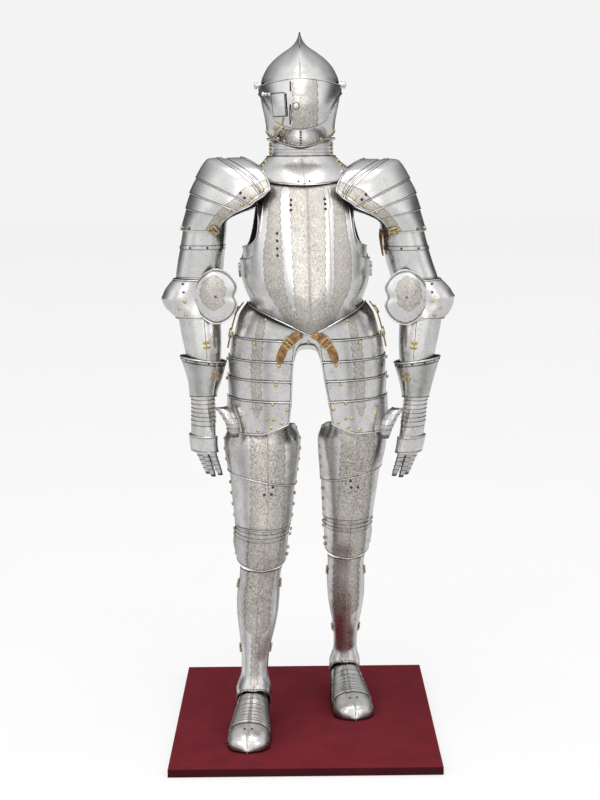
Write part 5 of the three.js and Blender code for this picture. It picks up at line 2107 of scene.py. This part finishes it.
        def form(angle: Array, s: Array) -> Array:
            """Returns points on the finger; s runs from the tip, 0, to the knuckle, 1."""
            row, a = line(1 - np.asarray(s)), np.radians(angle)
            x = ARMS_X + side.sign * (row["q"] + row["r"] * np.sin(a))
            return stack(x, row["y"] - row["r"] * np.cos(a), row["h"] - side.drop)

        plate = Plate(
            "scales", form, spread(*span, pitch=14), 0, 1, count * 2, sign=side.sign, wall=1.5,
            # The scales are evenly darkened by painted shade.
            lames=[i / count for i in range(1, count)], lame_depth=1.6, lame_line=2.6, painted_shade=0.2,
        )
        draft.take(plate.draft())


@dataclass
class Leg:
    """Cuisse, poleyn, greave and sabaton of one leg."""

    shop: Workshop
    side: Side
    ridge: float = 2.5

    def build(self) -> None:
        """Builds every plate."""
        form = leg_form(self.side, self.ridge)
        thigh = spread(-86, -24, 0, 24, 104, pitch=3)
        swept = lambda angle: 650 + 18 * np.sin(np.radians(angle))
        top = Curve((-90, -60, 0, 100), (776, 792, 800, 800))
        knee = both_sides((0, 422), (50, 430), (100, 440))
        ankle = lambda angle: 106 - 38 * np.sin(np.radians(angle)) ** 4
        sides = [Rim("start", 1.7), Rim("end", 1.7)]
        name, sign, shop = self.side.name, self.side.sign, self.shop
        band = centre_band(0, Curve((110, 240, 266, 418, 422, 800), (11, 12, 34, 37, 44, 46)))
        shop.plate(Plate(
            f"cuisse_upper_{name}", form, thigh, swept, top, 16, STEP, sign=sign, crest=1.5,
            rims=[*sides, Rim("low", 2.0, rope=7)], band=band, painted_shade=self.shade,
        ))
        shop.plate(Plate(
            f"cuisse_lower_{name}", form, thigh, 530, swept, 14, lambda angle, v, h: STEP * (1 - v),
            sign=sign, laps=(0, LAP), rims=[*sides, Rim("low", 1.2)], band=band, crest=1.5, painted_shade=self.shade,
        ))
        shop.plate(Plate(
            f"poleyn_{name}", form, thigh, knee, 530, 22, self.knee_lift, sign=sign, laps=(0, LAP),
            rims=[*sides, Rim("low", 2.0)], band=band, lames=[0.7, 0.8, 0.9],
            lame_depth=1.4, lame_line=2.6, crest=1.5, painted_shade=self.shade,
        ))
        shop.plate(Plate(
            f"greave_front_{name}", form, spread(-88, -24, 0, 24, 88, pitch=4), ankle, 418, 34,
            -STEP, sign=sign, rims=[Rim("low", 1.6)], band=band,
            crest=1.5, crest_half=1.6, painted_shade=self.shade,
        ))
        shop.plate(Plate(
            f"greave_back_{name}", form, spread(92, 268, pitch=5), 4, 384, 34,
            -STEP, sign=sign, rims=[Rim("low", 1.4), Rim("high", 1.6)],
        ))
        self.sabaton()
        self.fittings(form)

    def fittings(self, form: Form) -> None:
        """Adds the rivets along the thigh's and knee's edges, the holes, and the greave's hinges."""
        sign, shop = self.side.sign, self.shop
        rows = [(a, h) for a in (-78, 97) for h in (775, 748, 722, 695, 668, 636, 608, 580, 552)]
        shop.studs(Stud.BRASS, form, rows, STEP, sign)
        knee = [(a, h) for a in (-78, 92) for h in (518, 505, 470, 452)]
        shop.studs(Stud.BRASS, form, knee, STEP + 2.5, sign)
        shop.studs(Stud.HOLE, form, [(-7, 622), (6, 622)], STEP * 0.3, sign)
        shop.studs(Stud.STEEL, form, [(-9, 640), (0, 788)], STEP, sign)
        for angle, h in ((-88, 372), (89, 372), (-88, 200), (89, 200)):
            shop.hinge(Spot.on(form, angle, h, -STEP + 1.2, sign), 14, 22)

    def shade(self, angle: Array, v: Array) -> Array:
        """Returns a leg plate's painted shade: upright dark streaks that are painted dark reflections, and
        painted shade heavier towards its sides.
        """
        streaks = 0.3 * bell(angle, -44, 9) + 0.34 * bell(angle, 40, 8)
        return streaks + 0.5 * np.clip((np.abs(angle) - 62) / 26, 0, 1)

    def knee_lift(self, angle: Array, v: Array, h: Array) -> Array:
        """Returns the poleyn's lift: its lame steps and the wing over the outer side."""
        wing = 9 * bell(v, 0.45, 0.35) * np.clip((angle - 60) / 40, 0, 1)
        return STEP * (1 - v) + wing

    def sabaton(self) -> None:
        """Builds the shoe of transverse lames."""
        name = self.side.name
        ankle = LEG(0.0)
        turn = math.radians({"right": -3.0, "left": 6.0}[name])

        def form(across: Array, d: Array) -> Array:
            """Returns points on the shoe; d runs back from the toe, 0, to the ankle, 224."""
            row, a = FOOT(230 - np.asarray(d)), np.radians(across)
            x, y = row["wide"] * np.sign(a) * np.abs(np.sin(a)) ** 0.9, np.asarray(d) - 230
            z = row["tall"] * (0.04 + 0.96 * np.maximum(0, np.cos(a)) ** 0.6)
            across_ = x * math.cos(turn) - y * math.sin(turn)
            along = x * math.sin(turn) + y * math.cos(turn)
            return stack(ankle[f"{name}X"] + across_, ankle[f"{name}Y"] + along, z)

        self.shop.plate(Plate(
            f"sabaton_{name}", form, spread(-90, 0, 90, pitch=6), 0, 224, 48,
            rims=[Rim("high", 1.3)], lame_depth=2.6, lame_line=0.6, crest=1.6, crest_half=3.0,
            # Painted shade: a little all over, more on the lames behind the toe cap, and much more down both
            # sides.
            painted_shade=lambda angle, v: 0.1 + 0.26 * (v > 0.36) + 0.7 * (np.abs(angle) / 90) ** 5,
            lames=[d / 224 for d in (72, 82, 92, 103, 115, 128, 142, 158, 176, 194, 212)],
        ))
        self.shop.studs(Stud.STEEL, form, [(-8, 48), (8, 48)], 0.4)
        sole = [(side * 84, d) for side in (-1, 1) for d in range(30, 220, 16)]
        self.shop.studs(Stud.STEEL, form, sole, 0.6)


@dataclass
class Plinth:
    """The low board under the suit, covered in cloth."""

    shop: Workshop
    wide: float = 675.0
    deep: float = 760.0
    thick: float = 22.0
    rounding: float = 2.0

    def build(self) -> None:
        """Builds the board with softly rounded edges."""
        draft = Draft()
        x, y, z, r = self.wide / 2, self.deep / 2, self.thick, self.rounding
        rings = [
            [(sx * (x - inset), sy * (y - inset), h) for sx, sy in ((-1, -1), (1, -1), (1, 1), (-1, 1))]
            for inset, h in ((r, 0), (0.3 * r, 0.3 * r), (0, r), (0, z - r), (0.3 * r, z - 0.3 * r), (r, z))
        ]
        numbers = draft.add(np.array(rings, float).transpose(1, 0, 2))
        draft.sheet(numbers)
        draft.fan(numbers[:, 0][::-1])
        draft.fan(numbers[:, -1])
        obj = draft.build("plinth_cover", [self.shop.finishes.cloth], 30)
        finish_piece(obj, "suit", "plinth", slot="cloth")


# Studio


@dataclass
class Studio:
    """Pale floor, soft lights and the camera."""

    floor_size: float = 60.0
    floor_glow: float = 0.7
    floor_far: float = 0.666
    floor_mirrored: float = 0.42
    backdrop: float = 0.9
    dark_from: float = 0.12
    dark_to: float = -0.42
    lens: float = 69.75
    camera_at: tuple[float, float, float] = (-0.0043, -3.973, 1.5146)
    down: float = 9.2
    roll: float = 0.6

    def build(self) -> None:
        """Builds the whole studio, shown without a film curve so that the pale floor stays pale."""
        bpy.context.scene.view_settings.view_transform = "Standard"
        self.world()
        self.floor()
        self.lights()
        self.camera()

    def world(self) -> None:
        """Makes the pale surroundings: a bright room with a soft dark flag at each side, dark behind."""
        world = bpy.data.worlds.new("studio_air")
        bpy.context.scene.world = world
        world.use_nodes = True
        room = Shader.of_tree(world.node_tree, "ShaderNodeOutputWorld")
        way = room.node("ShaderNodeTexCoord", {}, {}, "Generated")
        x, y, z = room.axes(way)
        behind = y.ramp(-self.dark_from, -self.dark_to) * z.ramp(0.15, 0.75, 1.0, 0.35)
        aside = abs(x).arctan2(-y)
        flag = aside.ramp(0.6, 0.8) * aside.ramp(0.95, 1.2, 1.0, 0.0) * z.ramp(0.05, 0.5, 1.0, 0.15)
        level = (1 - behind * 0.95) * (1 - flag * 0.5) * z.ramp(0.5, 1.0, 1.0, 0.9)
        glow = room.node("ShaderNodeBackground", {}, {"Color": grey(0.98), "Strength": level})
        seen = room.node("ShaderNodeBackground", {}, {"Color": grey(self.backdrop)})
        camera = room.node("ShaderNodeLightPath", {}, {}, "Is Camera Ray")
        mixed = room.node("ShaderNodeMixShader", {}, {0: camera, 1: glow, 2: seen})
        room.tree.links.new(mixed.link, room.output.inputs["Surface"])

    def floor(self) -> None:
        """Makes the plain pale floor."""
        half = self.floor_size / 2
        mesh = bpy.data.meshes.new("studio_floor")
        corners = [(-half, -half, -0.001), (half, -half, -0.001), (half, half, -0.001), (-half, half, -0.001)]
        mesh.from_pydata(corners, [], [(0, 1, 2, 3)])
        shader = Shader("pale_floor")
        tone = shader.noise(shader.place(), 1.5, 2.0).ramp(0.3, 0.7)
        seen = shader.node("ShaderNodeLightPath", {}, {}, "Is Camera Ray")
        reach = shader.node("ShaderNodeVectorMath", {"operation": "LENGTH"}, {0: shader.place()}, "Value")
        glow = shader.mix(reach.ramp(3.0, 20.0), grey(self.floor_glow), grey(self.floor_far))
        bright = shader.mix(seen, grey(self.floor_mirrored), glow)
        mesh.materials.append(shader.surface(
            Base_Color=shader.mix(tone, grey(0.27), grey(0.28)), Roughness=0.9,
            Emission_Color=bright, Emission_Strength=1.0,
        ))
        show("studio_floor", mesh)

    def lights(self) -> None:
        """Makes the large soft lights."""
        for name, spot, size, power in (
            ("key", (-1.7, -3.3, 2.9), 2.2, 22.0),
            ("fill", (1.9, -3.2, 2.5), 2.0, 14.0),
            ("top", (0.0, -0.6, 4.4), 2.4, 42.0),
        ):
            data = bpy.data.lights.new(name, "AREA")
            data.shape, data.size, data.energy = "SQUARE", size, power
            lamp = show(name, data)
            lamp.location = spot
            aim = Vector((0.0, 0.0, 1.0)) - Vector(spot)
            lamp.rotation_euler = aim.to_track_quat("-Z", "Y").to_euler()

    def camera(self) -> None:
        """Makes the camera."""
        data = bpy.data.cameras.new("camera")
        data.lens, data.sensor_width = self.lens, 36.0
        camera = show("camera", data)
        camera.location = self.camera_at
        camera.rotation_euler = Euler((math.radians(90 - self.down), 0, 0))
        camera.rotation_euler.rotate_axis("Z", math.radians(-self.roll))
        bpy.context.scene.camera = camera


def main() -> None:
    """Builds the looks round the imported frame."""
    logging.basicConfig(level=logging.INFO, format="%(name)s: %(message)s")
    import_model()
    shop = Workshop(Finishes.make())
    Studio().build()
    Plinth(shop).build()
    Helmet(shop).build()
    Collar(shop).build()
    Cuirass(shop).build()
    Skirt(shop).build()
    for side in (RIGHT, LEFT):
        Arm(shop, side).build()
        Leg(shop, side).build()
    shop.finish_loose()


if __name__ == "__main__":
    main()
